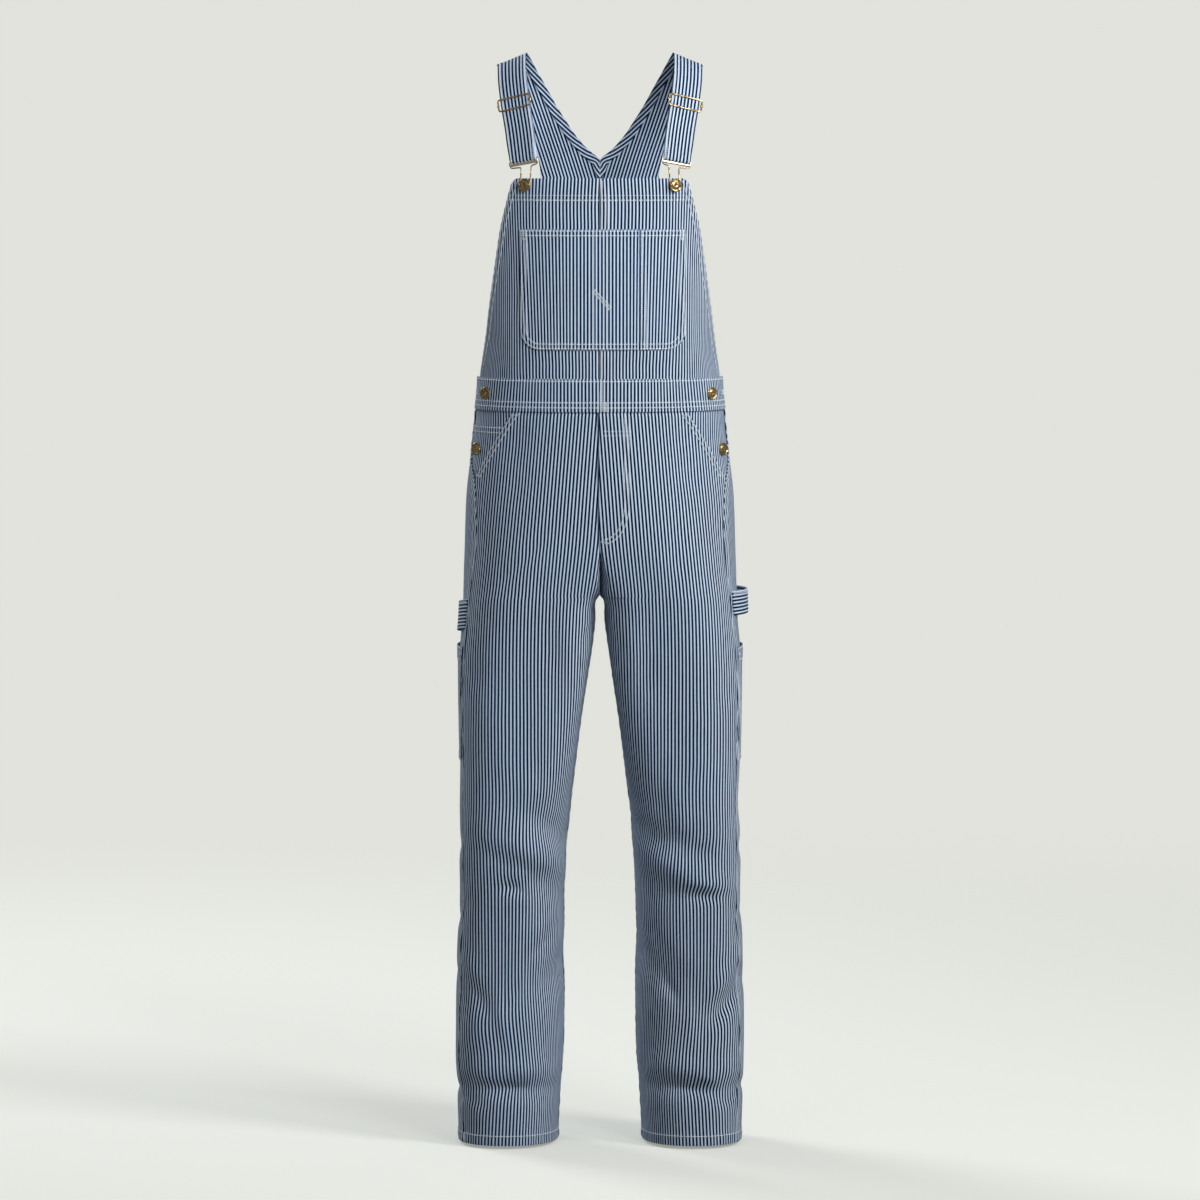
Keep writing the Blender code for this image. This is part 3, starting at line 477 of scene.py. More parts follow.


# %% [markdown]
# ## Creases
# Cloth that hangs on a body breaks into soft uneven troughs and ridges: across the ankle where the leg
# meets the shoe, in slanting pairs behind and in front of the knee, and in long pulls from the crotch.
# A simulation would put them anywhere, so each is placed from the photograph, and the hidden
# sides get similar ones. A crease is a bell across its width that dies away along its length, and its
# line bows, so no two look alike.

# %% Table of the small creases
CREASES = table("side angle height tilt length width depth", [
    (-1, -2, -1161, 13, 32, 9, 4), (-1, -1, -1140, 8, 34, 9, -2.5), (-1, -41, -1238, -41, 56, 8, 3.5),
    (-1, -30, -1217, -44, 50, 9, -2), (-1, -17, -1290, -66, 62, 9, 3.5), (-1, 29, -1318, 61, 91, 11, 3.5),
    (-1, 45, -1267, 62, 68, 12, -2), (-1, 7, -1352, 78, 52, 9, -2.5), (-1, -3, -1442, 4, 38, 6, 2.5),
    (-1, 20, -1428, 15, 28, 8, -2), (-1, -25, -842, 80, 90, 12, 2.5), (-1, -34, -828, 88, 89, 10, -1.5),
    (-1, -55, -792, -52, 70, 8, 2), (-1, -21, -999, 83, 60, 10, 1.8), (-1, 15, -957, 84, 108, 16, -1.5),
    (-1, 42, -866, 89, 95, 14, 1.5), (-1, -20, -1061, -59, 53, 12, 2), (-1, 18, -1113, 21, 40, 12, 1.6),
    (-1, -46, -1398, 60, 49, 9, 2), (-1, 31, -1463, 20, 29, 9, 1.8),
    (1, 20, -1172, -3, 43, 9, 4.5), (1, 18, -1153, -2, 42, 9, -2.5), (1, -36, -1234, -57, 47, 9, 2.5),
    (1, -22, -1305, -57, 46, 9, 4), (1, 40, -1323, 49, 92, 10, 4.5), (1, 35, -1291, 52, 73, 10, -3),
    (1, 0, -1359, -85, 48, 10, -2.5), (1, -6, -1443, -8, 59, 6, 2.5), (1, 20, -1431, -24, 30, 8, -2),
    (1, -24, -845, 84, 96, 12, 2.3), (1, -33, -826, 86, 93, 10, -1.5), (1, -56, -791, -52, 66, 8, 2),
    (1, -23, -1015, 80, 63, 10, 1.8), (1, 16, -957, 86, 107, 16, -1.5), (1, 43, -870, 87, 89, 14, 1.5),
    (1, -20, -1064, -61, 57, 12, 2), (1, 14, -1112, 32, 32, 12, 1.8), (1, -53, -1397, 75, 42, 9, 2),
    (1, 39, -1461, 10, 29, 9, 1.8), (1, 50, -1200, -65, 33, 10, 2),
    (-1, 170, -772, 20, 100, 14, 3), (-1, 198, -838, 30, 100, 12, 2.5), (-1, 150, -905, 12, 90, 14, 1.8),
    (-1, 178, -1046, 8, 80, 9, 3.2), (-1, 163, -1098, -12, 90, 9, 3.4), (-1, 202, -1150, 16, 80, 9, 2.4),
    (-1, 146, -1184, -22, 70, 10, 2), (-1, 186, -1236, 34, 80, 11, 2.2), (-1, 168, -1325, -27, 90, 12, 2.2),
    (-1, 208, -1378, 22, 70, 10, 2), (-1, 182, -1442, 3, 90, 7, 3), (-1, 176, -1458, 2, 90, 8, -2),
    (-1, 156, -1492, -8, 60, 8, 1.5), (-1, 122, -562, 58, 80, 14, 1.5), (-1, 158, -628, -32, 90, 16, 1.5),
    (-1, 148, -688, 36, 80, 14, 1.6), (-1, 92, -1102, 15, 70, 12, 1.8), (-1, 80, -1206, -30, 70, 12, 1.6),
    (-1, 76, -1292, 30, 80, 12, 1.8), (-1, 82, -1450, 5, 60, 8, 2),
    (1, 174, -778, -18, 100, 14, 3), (1, 204, -828, -28, 100, 12, 2.4), (1, 146, -915, -10, 90, 14, 1.8),
    (1, 184, -1052, -9, 80, 9, 3.2), (1, 166, -1090, 14, 90, 9, 3.2), (1, 196, -1162, -14, 80, 9, 2.4),
    (1, 150, -1176, 24, 70, 10, 2), (1, 182, -1246, -36, 80, 11, 2.2), (1, 172, -1332, 26, 90, 12, 2.2),
    (1, 204, -1370, -20, 70, 10, 2), (1, 178, -1438, -3, 90, 7, 3), (1, 182, -1454, -2, 90, 8, -2),
    (1, 160, -1488, 9, 60, 8, 1.5), (1, 126, -570, -56, 80, 14, 1.5), (1, 154, -640, 30, 90, 16, 1.5),
    (1, 150, -700, -34, 80, 14, 1.6), (1, 90, -1110, -14, 70, 12, 1.8), (1, 82, -1200, 32, 70, 12, 1.6),
    (1, 74, -1286, -28, 80, 12, 1.8), (1, 84, -1446, -4, 60, 8, 2),
    (-1, 36, -345, 78, 100, 18, 1.3), (-1, 55, -400, 42, 50, 14, 1.4), (-1, 22, -428, 8, 70, 10, 0.8),
    (1, 34, -352, -76, 100, 18, 1.3), (1, 57, -408, -44, 50, 14, 1.4), (1, 24, -430, -6, 70, 10, 0.8),
    (-1, 152, -330, 70, 100, 22, 1.6), (-1, 166, -425, 18, 70, 15, 1.3), (-1, 118, -436, -20, 50, 13, 1.4),
    (1, 150, -322, -72, 100, 22, 1.6), (1, 164, -432, -16, 70, 15, 1.3), (1, 116, -430, 24, 50, 13, 1.4),
    (-1, 38, -560, 84, 100, 20, 1.4), (-1, 18, -700, -60, 70, 12, 1.4), (-1, 60, -690, 80, 90, 15, 1.4),
    (1, 40, -566, -82, 100, 20, 1.4), (1, 20, -694, 58, 70, 12, 1.4), (1, 58, -698, -78, 90, 15, 1.4),
])


# %% The skin with its creases
HIDDEN_DEPTH = 1.7   # how much deeper the creases of the sides and the back are


def creases(angle, height, side):
    """Depth of the small creases at each point. A crease's line bows by up to 0.16 of the squared run over
    its length, and its depth swells and sinks a little on the way. The hidden ones are deeper."""
    angle, height = both(angle, height)
    keep = CREASES["side"] == side
    kind = {name: column[keep].reshape(-1, *[1] * angle.ndim) for name, column in CREASES.items()}
    radius = (section("outer", height) - section("inner", height)) / 2
    along = np.radians((angle - kind["angle"] + 180) % 360 - 180) * radius
    rise = height - kind["height"]
    tilt = np.radians(kind["tilt"])
    run = along * np.cos(tilt) + rise * np.sin(tilt)
    cross = rise * np.cos(tilt) - along * np.sin(tilt)
    bow = cross + 0.16 * run * run / kind["length"] * np.sin(kind["height"])
    swell = 1 + 0.25 * np.sin(run / 11 + kind["height"])
    share = np.exp(-(bow / kind["width"]) ** 2 - (run / kind["length"] * 1.7) ** 2)
    hidden = np.where(kind["angle"] > 70, HIDDEN_DEPTH, 1.0)
    return (kind["depth"] * swell * share * hidden).sum(axis=0)


def dressed(angle, height, side, lift=0.0):
    """A point of the cloth: the skin, moved out by the lift less the depth of folds and creases."""
    angle, height = both(angle, height)
    depth = folds(angle, height, side) + creases(angle, height, side)
    point = skin(angle, height) + outward(angle, height) * (lift - depth)[..., None]
    point[..., 0] *= side
    return point


def arc(angle, height):
    """Length of the section from the front, angle 0, round to an angle, added up over 24 chords."""
    angle, height = both(angle, height)
    steps = np.linspace(0, 1, 25).reshape(-1, *[1] * angle.ndim)
    points = skin(steps * angle, height)
    return np.linalg.norm(np.diff(points, axis=0), axis=-1).sum(axis=0) * np.sign(angle)


def rate(angle, height):
    """Degrees round the section for each millimetre of cloth."""
    return 1 / np.linalg.norm(skin(angle + 0.5, height) - skin(angle - 0.5, height), axis=-1)


print("creases placed by hand:", len(CREASES["side"]))

# %% [markdown]
# ## From a grid of points to a panel of cloth
# Each panel is one sheet of twill about 0.9 mm thick. A grid of points gives its outer face, and the
# Solidify modifier sets the second face under it and closes the rim. Two lengths in millimetres, one
# across the cloth and one along it, become the UV map, because woven stripes belong to the cloth and
# must bend with it. A third number for each point, wear, says where the dye has rubbed off.

# %% Building a panel
CLOTH = 0.9          # thickness of the twill
EDGE = np.array([0.0, 0.7, 1.6, 3.4, 6.0, 8.6, 10.2, 11.8])   # columns close to a sewn edge
STEP = 3.7           # distance between columns and rows elsewhere


def rows_between(top, bottom, step=STEP):
    """Heights from top to bottom: close together at both ends, even between."""
    near = EDGE * min(1, (top - bottom) / (2.6 * EDGE[-1]))
    middle = np.linspace(top - near[-1], bottom + near[-1],
                         max(2, round((top - bottom - 2 * near[-1]) / step) + 1))
    return np.concatenate([top - near[:-1], middle, (bottom + near[:-1])[::-1]])


def columns_between(start, end, heights, step=STEP):
    """Angles of a panel's columns for each row: at the edge distances from both ends, even between."""
    start, end = np.asarray(start, float), np.asarray(end, float)
    width = arc(end, heights) - arc(start, heights)
    near = EDGE * min(1, np.median(width) / (2.6 * EDGE[-1]))
    left = start[:, None] + near * rate(start, heights)[:, None]
    right = end[:, None] - near * rate(end, heights)[:, None]
    count = max(2, round((np.median(width) - 2 * near[-1]) / step) + 1)
    share = np.linspace(0, 1, count)
    middle = left[:, -1:] * (1 - share) + right[:, -1:] * share
    angle = np.concatenate([left[:, :-1], middle, right[:, -2::-1]], axis=1)
    return angle, np.repeat(heights[:, None], angle.shape[1], axis=1)


def rise_near(distance, width, amount):
    """A step of a given height within a width of an edge, with soft shoulders a millimetre long."""
    return amount * 0.5 * (1 - np.tanh((distance - width) / 0.8))


def roll(distance, amount=0.75):
    """How far an edge sinks into its seam: a bell of the distance, 1.1 mm wide."""
    return -amount * bell(distance, 1.1)


def pucker(distance, along, width=11.0, amount=0.32):
    """Ripples of a sewn edge, uneven along it and gone beyond the width."""
    wave = np.sin(along / 2.3 + 1.7 * np.sin(along / 17)) + 0.6 * np.sin(along / 3.7 + 2)
    return amount * wave * np.clip(1.6 - distance / width, 0, 1) * np.clip(distance / 2, 0, 1)


def shape_with(lift):
    """The shape of a panel as a function of angle, height and side, from its lift as one."""
    return lambda angle, height, side: dressed(angle, height, side, lift(angle, height, side))


def smooth_mesh(name, points, faces):
    """A smooth mesh from points in millimetres."""
    mesh = bpy.data.meshes.new(name)
    mesh.from_pydata((points.reshape(-1, 3) * MM).tolist(), [], faces)
    mesh.polygons.foreach_set("use_smooth", np.ones(len(mesh.polygons), bool))
    return mesh


def woven(mesh, u, v, wear, corners):
    """Give a mesh its UV map in millimetres, by the corners of its faces, and the wear of each point."""
    layer = mesh.uv_layers.new(name="cloth")
    layer.data.foreach_set("uv", np.stack([u, v], axis=-1).reshape(-1, 2)[corners].ravel())
    worn = mesh.attributes.new("wear", "FLOAT", "POINT")
    worn.data.foreach_set("value", wear.ravel())


def piece_of(name, mesh, finish, nodes=(), thickness=0.0):
    """A mesh as a piece that rides on the one body in the place of its solids. A finish is a material and
    the name of its slot, which is not used. Cloth with a thickness is closed by Solidify."""
    material, slot = finish
    mesh.materials.append(material)
    made = placed(name, mesh)
    if thickness:
        second = made.modifiers.new("second face", "SOLIDIFY")
        second.thickness = thickness * MM
        second.offset = -1.0
    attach(made, "root")
    if nodes:
        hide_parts(*nodes)
    return made


def cloth(name, grid, out, u, v, wear, finish, nodes, thickness=CLOTH):
    """Quads between the neighbours of a grid, turned so that they face out, as one piece of cloth."""
    down = grid[1:, :-1] - grid[:-1, :-1]
    over = grid[:-1, 1:] - grid[:-1, :-1]
    if np.sum(np.cross(down, over) * out[:-1, :-1]) < 0:
        grid, u, v, wear = grid[:, ::-1], u[:, ::-1], v[:, ::-1], wear[:, ::-1]
        over = grid[:-1, 1:] - grid[:-1, :-1]
        down = grid[1:, :-1] - grid[:-1, :-1]
    rows, columns = grid.shape[:2]
    index = np.arange(rows * columns).reshape(rows, columns)
    faces = np.stack([index[:-1, :-1], index[1:, :-1], index[1:, 1:], index[:-1, 1:]], axis=-1)
    faces = faces.reshape(-1, 4)
    mesh = smooth_mesh(name, grid, faces.tolist())
    woven(mesh, u, v, wear, faces.ravel())
    made = piece_of(name, mesh, finish, nodes, thickness)


# %% [markdown]
# ## The striped twill
# The cloth is woven from indigo and undyed yarns in turn, a stripe of each about every 5 mm, in a
# twill whose diagonal ribs are half a millimetre wide. An image would do, but it would stretch and
# repeat, so nodes draw it from the UV map: a folded ramp across gives the stripes, a second one along
# the diagonal gives the ribs, streaky noise gives uneven yarn, and the wear value fades the indigo.

# %% Node helpers and the twill
PITCH = 4.9          # one dark and one pale stripe


def number(nodes, operation, *values):
    """A Math node whose inputs are numbers or sockets. Returns its result."""
    made = nodes.new("ShaderNodeMath")
    made.operation = operation
    for slot, value in enumerate(values):
        if isinstance(value, (int, float)):
            made.inputs[slot].default_value = value
        else:
            join(nodes, (value, made.inputs[slot]))
    return made.outputs[0]


def ramp(nodes, value, low, high, to_low=0.0, to_high=1.0, kind="SMOOTHSTEP"):
    """A soft step of a value between two limits."""
    made = nodes.new("ShaderNodeMapRange")
    made.interpolation_type = kind
    for name, amount in (("From Min", low), ("From Max", high), ("To Min", to_low), ("To Max", to_high)):
        made.inputs[name].default_value = amount
    join(nodes, (value, made.inputs["Value"]))
    return made.outputs["Result"]


def mixed(nodes, share, first, second):
    """A blend of two colours, given as colours or sockets, by a share. The node's colours are its inputs
    6 and 7 and its output 2."""
    made = nodes.new("ShaderNodeMix")
    made.data_type = "RGBA"
    join(nodes, (share, made.inputs[0]))
    for slot, value in ((6, first), (7, second)):
        if isinstance(value, tuple):
            made.inputs[slot].default_value = value
        else:
            join(nodes, (value, made.inputs[slot]))
    return made.outputs[2]


def grain(nodes, vector, scale, detail=2.0):
    """Noise with a mean near one half."""
    made = nodes.new("ShaderNodeTexNoise")
    made.inputs["Scale"].default_value = scale
    made.inputs["Detail"].default_value = detail
    join(nodes, (vector, made.inputs["Vector"]))
    return made.outputs["Fac"]


def stretched(nodes, vector, size):
    """A vector with each part multiplied by its own size."""
    made = nodes.new("ShaderNodeMapping")
    made.inputs["Scale"].default_value = size
    join(nodes, (vector, made.inputs["Vector"]))
    return made.outputs["Vector"]


def blank_material(name):
    """A new material with its nodes, its shader and the place of each point in its object."""
    made = bpy.data.materials.new(name)
    made.use_nodes = True
    nodes = made.node_tree.nodes
    return made, nodes, nodes["Principled BSDF"], nodes.new("ShaderNodeTexCoord").outputs["Object"]


def relief(nodes, shader, height, strength, distance):
    """Bump the shader's surface by a height, over a distance in metres."""
    bump = nodes.new("ShaderNodeBump")
    bump.inputs["Strength"].default_value = strength
    bump.inputs["Distance"].default_value = distance
    join(nodes, (height, bump.inputs["Height"]), (bump.outputs[0], shader.inputs["Normal"]))


def twill(name, slot, dark, faded, pale, worn_pale):
    """Striped cotton drawn from the UV map in millimetres."""
    made, nodes, shader, place = blank_material(name)
    uv = nodes.new("ShaderNodeUVMap")
    uv.uv_map = "cloth"
    parts = nodes.new("ShaderNodeSeparateXYZ")
    join(nodes, (uv.outputs[0], parts.inputs[0]))
    yarn = grain(nodes, stretched(nodes, uv.outputs[0], (1.6, 0.035, 1.0)), 1.0, 1.0)
    slub = grain(nodes, stretched(nodes, uv.outputs[0], (0.25, 1.9, 1.0)), 1.0, 1.0)
    uneven = number(nodes, "MULTIPLY_ADD", number(nodes, "SUBTRACT", slub, 0.5), 0.55, parts.outputs["X"])
    fold = number(nodes, "PINGPONG", uneven, PITCH / 2)
    light = ramp(nodes, fold, PITCH / 4 - 0.06, PITCH / 4 + 0.34)
    slant = number(nodes, "MULTIPLY_ADD", parts.outputs["Y"], 0.72, parts.outputs["X"])
    rib = ramp(nodes, number(nodes, "PINGPONG", slant, 0.34), 0.05, 0.30)
    wear = nodes.new("ShaderNodeAttribute")
    wear.attribute_name = "wear"
    cloudy = ramp(nodes, grain(nodes, place, 6.0, 3.0), 0.30, 0.72, 0.0, 0.5)
    fine = grain(nodes, place, 900.0, 1.0)
    rub = number(nodes, "MULTIPLY", wear.outputs["Fac"], ramp(nodes, fine, 0.25, 0.65, 0.45, 1.0))
    fade = number(nodes, "ADD", number(nodes, "MULTIPLY", rib, 0.26), number(nodes, "ADD", rub, cloudy))
    streaks = number(nodes, "MULTIPLY", number(nodes, "SUBTRACT", yarn, 0.5), 0.9)
    blue = mixed(nodes, ramp(nodes, number(nodes, "ADD", fade, streaks), 0.0, 1.25), dark, faded)
    dust = number(nodes, "ADD", number(nodes, "MULTIPLY", rib, -0.35), number(nodes, "MULTIPLY", yarn, 0.6))
    white = mixed(nodes, ramp(nodes, dust, -0.35, 0.55), worn_pale, pale)
    colour = mixed(nodes, light, blue, white)
    join(nodes, (colour, shader.inputs["Base Color"]))
    join(nodes, (ramp(nodes, fine, 0.2, 0.8, 0.80, 0.96), shader.inputs["Roughness"]))
    shader.inputs["Sheen Weight"].default_value = 0.10
    shader.inputs["Sheen Roughness"].default_value = 0.45
    shader.inputs["Sheen Tint"].default_value = tone(168, 206, 255)
    shader.inputs["Specular IOR Level"].default_value = 0.10
    height = number(nodes, "ADD", number(nodes, "MULTIPLY", rib, 0.6), number(nodes, "MULTIPLY", yarn, 0.8))
    relief(nodes, shader, number(nodes, "MULTIPLY_ADD", light, 0.35, height), 0.55, 0.00022)
    return made, slot


INDIGO = tone(1, 25, 56)
WASHED = tone(16, 56, 104)
UNDYED = tone(227, 241, 255)
DUSTY = tone(188, 207, 232)
body_twill = twill("striped twill of the panels", "striped_cotton", INDIGO, WASHED, UNDYED, DUSTY)
patch_twill = twill("striped twill of pockets and bands", "striped_patch",
                    tone(1, 27, 60), tone(20, 61, 108), UNDYED, DUSTY)


# %% [markdown]
# ## Thread and brass
# The seams are sewn with thick undyed cotton. The fittings are brass: lighter on the bars of the hooks as a
# painted highlight, darker on their wires as painted shade, a little browned on the sliders, and mottled on
# the cast heads of the buttons, so one recipe with different colours and a different share of tarnish serves
# all four.

# %% Thread and brass finishes
def thread_finish(name, clean, grey):
    """Cotton thread: two colours of yarn by fine noise, with finer noise as relief."""
    made, nodes, shader, place = blank_material(name)
    colour = mixed(nodes, ramp(nodes, grain(nodes, place, 420.0), 0.3, 0.7), clean, grey)
    join(nodes, (colour, shader.inputs["Base Color"]))
    join(nodes, (ramp(nodes, grain(nodes, place, 700.0), 0.2, 0.8, 0.6, 0.85), shader.inputs["Roughness"]))
    shader.inputs["Sheen Weight"].default_value = 0.2
    relief(nodes, shader, grain(nodes, place, 2600.0), 0.5, 0.0002)
    return made, "striped_cotton"


def brass_finish(name, bright, brown, low, high, bumps, scale):
    """Brass with tarnish: noise decides between clean metal and brown film, rougher and less metallic."""
    made, nodes, shader, place = blank_material(name)
    film = ramp(nodes, grain(nodes, place, scale, 4.0), low, high)
    join(nodes, (mixed(nodes, film, bright, brown), shader.inputs["Base Color"]))
    join(nodes, (number(nodes, "MULTIPLY_ADD", film, 0.28, 0.22), shader.inputs["Roughness"]))
    join(nodes, (ramp(nodes, film, 0.0, 1.0, 1.0, 0.72), shader.inputs["Metallic"]))
    relief(nodes, shader, grain(nodes, place, scale * 1.7, 3.0), bumps, 0.0006)
    return made, "aged_brass"


cotton_thread = thread_finish("undyed cotton thread", tone(250, 251, 250), tone(222, 230, 238))
# The hook bars get lighter brass as a painted highlight and the hook wires darker brass as painted shade;
# the brown film in each is tarnish.
bar_brass_painted_highlight, wire_brass_painted_shade, brown_brass, cast_brass = [
    brass_finish(name, tone(*bright), tone(*brown), *rest) for name, bright, brown, *rest in (
        ("hook bar brass with painted highlight", (240, 222, 186), (158, 126, 80), 0.52, 0.76, 0.15, 260.0),
        ("hook wire brass with painted shade", (196, 166, 112), (96, 74, 44), 0.42, 0.66, 0.2, 260.0),
        ("browned brass of the sliders", (214, 190, 142), (118, 92, 58), 0.42, 0.66, 0.25, 240.0),
        ("mottled brass of the buttons", (196, 168, 118), (92, 72, 46), 0.40, 0.62, 0.6, 330.0))]
print("materials:", [material.name for material in bpy.data.materials])

# %% [markdown]
# ## Stripes that lean
# On a real pair the grain runs down the middle of each leg panel, and the stripes keep their distance
# from it until a seam cuts them. On the body they lean: out from the fly, in along the inner thigh,
# and to and fro where the knee and the ankle break. The lean was read off the photograph at three
# places across a panel. Added up down the panel, it says how far each stripe has moved.

# %% Lean of the stripes
FRONT_LEAN = table("height inner middle outer", [
    (-493, 4, 4.5, 5), (-532, 4, 4.5, 5), (-615, 4, 4.6, 6), (-657, 4.5, 4.6, 5), (-699, 7.5, 4.6, 4),
    (-741, 8, 3.8, 4), (-782, 9, 2, 1.5), (-838, 9, 0.6, 0.5), (-894, 6, -0.3, 1), (-950, 5, 0.4, -1),
    (-1007, 5, -0.5, -2), (-1063, 2, 2.6, 0), (-1098, -2, -3, 0), (-1119, -4, -5, 0),
    (-1150, -2, -3, 0), (-1174, 0, -0.6, 0), (-1216, 0, 0.6, -1), (-1259, 0, 0.8, -1),
    (-1290, -5, 0, 1), (-1316, -7, -2, 3), (-1373, -6, -6, 7), (-1415, -4, -4, 4), (-1458, 0, 1.5, 1.5),
    (-1493, 4, 3, 0), (-1523, 3, 2, 0),
])
BACK_LEAN = table("height inner middle outer", [
    (-493, 2, 3, 2), (-600, 4, 4, 2), (-700, 8, 4, 2), (-760, 9, 3, 1), (-830, 6, 1, 0),
    (-930, 4, 0, 0), (-1020, 3, 0, 0), (-1075, 0, -2, 0), (-1120, -3, -3, 1), (-1170, 0, 0, 1),
    (-1260, 0, 0, 0), (-1330, -4, -2, 2), (-1385, -5, -3, 4), (-1430, -2, -2, 1), (-1475, 1, 1, 1),
    (-1523, 1, 1, 1),
])
BIB_LEAN = table("height inner middle outer", [
    (-447, 0, -2, -14), (-400, 0, -2, -14), (-350, 0, -1.5, -13), (-300, 0, -1, -12),
    (-250, 0, -1, -10), (-222, -1, -1, -8), (-205, 1, 1, -6), (-190, 2.5, 3, -4), (-170, 2.5, 3, -2),
])
LEG_GRAIN = table("height across", [
    (-493, 62), (-600, 82), (-755, 98), (-922, 104), (-1034, 112), (-1105, 116), (-1250, 124),
    (-1400, 127), (-1523, 129),
])


def moved(rows, heights, share, grain, shear=8.0, fade=1.3):
    """How far stripes have moved off the grain line: the tangent of the lean less the grain line's own
    slope, added up down the panel. The inner and outer edges move off the middle by no more than a few
    millimetres, as twill can only shear a little, and the share of each fades in from the middle."""
    drop = np.maximum(-np.gradient(heights), 1e-6)
    slope = np.gradient(grain) / drop
    inner, middle, outer = [
        np.cumsum((np.tan(np.radians(eased(heights, rows["height"], rows[name]))) - slope) * drop)[:, None]
        for name in ("inner", "middle", "outer")
    ]
    off_in = shear * np.tanh((inner - middle) / shear) * np.clip(1 - 2 * share, 0, 1) ** fade
    off_out = shear * np.tanh((outer - middle) / shear) * np.clip(2 * share - 1, 0, 1) ** fade
    return middle + off_in + off_out


# %% [markdown]
# ## Leg panels
# Each leg has a front and a back panel. The front ends above at the slanted pocket mouth, and its
# centre edge is the fly, where the wearer's left laps over the right. Seam allowances make a low welt
# beside each felled seam, hems are turned 14 mm, and sewn edges pucker. These are all small lifts of
# the same surface, worked out from the distance to the nearest edge.

# %% Edges that the panels share
def pocket_mouth(height):
    """Angle of the slanted hip pocket edge, straight from the waist seam to the side seam."""
    top = angle_at(MOUTH_START, WAIST)
    share = np.clip((WAIST - height) / (WAIST - MOUTH_END), 0, 1)
    return top + (side_seam(MOUTH_END) - top) * share


def centre_cut(height, lap):
    """Where the panels of the two sides meet on the centre plane, above the crotch."""
    return lap * np.clip((height + 735) / 75, 0, 1) - 0.05


def fly_lap(side):
    """Where a front panel's centre edge lies: the wearer's left laps over, the right runs on under it."""
    return -FLY_LAP if side > 0 else FLY_UNDER


def front_edges(heights, side):
    """Inner and outer edge of a front leg panel as angles."""
    start = angle_at(centre_cut(heights, fly_lap(side)), heights)
    mouth = pocket_mouth(heights) - trim(heights)
    return start, np.where(heights > MOUTH_END, mouth, side_seam(heights) + trim(heights))


def back_edges(heights):
    """Outer and inner edge of a back leg panel as angles."""
    return side_seam(heights) + trim(heights), angle_at(centre_cut(heights, 0), heights, behind=True)


def turned_hem(height):
    """Lift of the doubled hem, a step 14 mm deep; the slight roping that washing leaves in it is added in
    each panel's lift.
    """
    return rise_near(height - HEM, 14.0, 0.7)


def front_lift(angle, height, side):
    """Lift of a front leg panel from its distances to the centre, to the outer edge and to the hem."""
    start, end = front_edges(np.asarray(height, float), side)
    near = np.abs(arc(angle, height) - arc(start, height))
    far = np.abs(arc(end, height) - arc(angle, height))
    above = height > MOUTH_END
    fly = np.clip((height + 700) / 60, 0, 1)
    lift = turned_hem(height) + roll(far) * ~above + rise_near(far, 11.0, 0.7) * above
    lap = rise_near(near, 40.0, 1.3) if side > 0 else -3.6 * bell(near, 5.0)
    lift = lift + roll(near) * (1 - fly) + fly * lap
    lift = lift - 1.4 * bell(np.clip(WAIST - height, 0, None), 3.0)
    lift = lift + pucker(far, height + side * 40) * 0.8 + pucker(near, height) * 0.6
    return lift + pucker(height - HEM, arc(angle, height) + side * 20, 13.0, 0.45)


def back_lift(angle, height, side):
    """Lift of a back leg panel. A felled seam's welt runs down both of its long edges."""
    start, end = back_edges(np.asarray(height, float))
    near = np.abs(arc(angle, height) - arc(start, height))
    far = np.abs(arc(end, height) - arc(angle, height))
    lift = turned_hem(height) + rise_near(near, 10.5, 0.7) + roll(near) + roll(far)
    lift = lift + roll(WAIST - height, 0.6)
    lift = lift + rise_near(far, 10.5, 0.6) * np.where(height > CROTCH, side > 0, 1)
    lift = lift + pucker(near, height + 9) + pucker(far, height + 31) * 0.8
    return lift + pucker(height - HEM, arc(angle, height) + side * 33, 13.0, 0.45)


# %% Centre seam and the pull of the crotch
CROTCH_PULL = {1: 21, -1: 7}     # how far the crotch seam pulls the front cloth of each side back
CROTCH_REACH = {1: 17, -1: 6}    # and how far from the seam that hollow reaches


def drawn_in(point, angle, height, side, front):
    """The point with its sideways place eased over the last 16 mm, so that the edge meets the centre plane
    above the crotch. In front, the crotch seam also pulls the cloth back into a short deep hollow."""
    target = centre_cut(height, fly_lap(side) if front else 0)
    edge = angle_at(target, height, behind=not front)
    near = np.abs(arc(angle, height) - arc(edge, height))
    lift_of = front_lift if front else back_lift
    off = target - side * dressed(edge, height, side, lift_of(edge, height, side))[..., 0]
    share = np.clip(1 - near / 16, 0, 1) ** 2 * np.clip((height - CROTCH + 5) / 8, 0, 1)
    point = point.copy()
    point[..., 0] += side * off * share
    if front:
        point[..., 1] += CROTCH_PULL[side] * crotch_hollow(near, height, side)
    return point


def crotch_hollow(near, height, side):
    """Share of the pull at the foot of the fly, one at the seam and nought at a fold that runs down and out
    from the fly's lowest stitches. On the wearer's left it reaches further, so that side lies in shade."""
    return np.clip(1 - near / crotch_reach(height, side), 0, 1) * above_inner_leg(height)


def above_inner_leg(height):
    """One above the crotch, fading to nought over 45 mm down the inner leg."""
    return np.clip((height + 800) / 45, 0, 1)


def crotch_reach(height, side):
    """Distance of that fold from the seam: nought at the lowest stitches of the fly, then straight out."""
    return CROTCH_REACH[side] * np.clip((-680 - height) / 58, 0.01, 1)


def front_shape(angle, height, side):
    """Points of a front leg panel."""
    lift = front_lift(angle, height, side)
    return drawn_in(dressed(angle, height, side, lift), angle, height, side, True)


def back_shape(angle, height, side):
    """Points of a back leg panel."""
    lift = back_lift(angle, height, side)
    return drawn_in(dressed(angle, height, side, lift), angle, height, side, False)


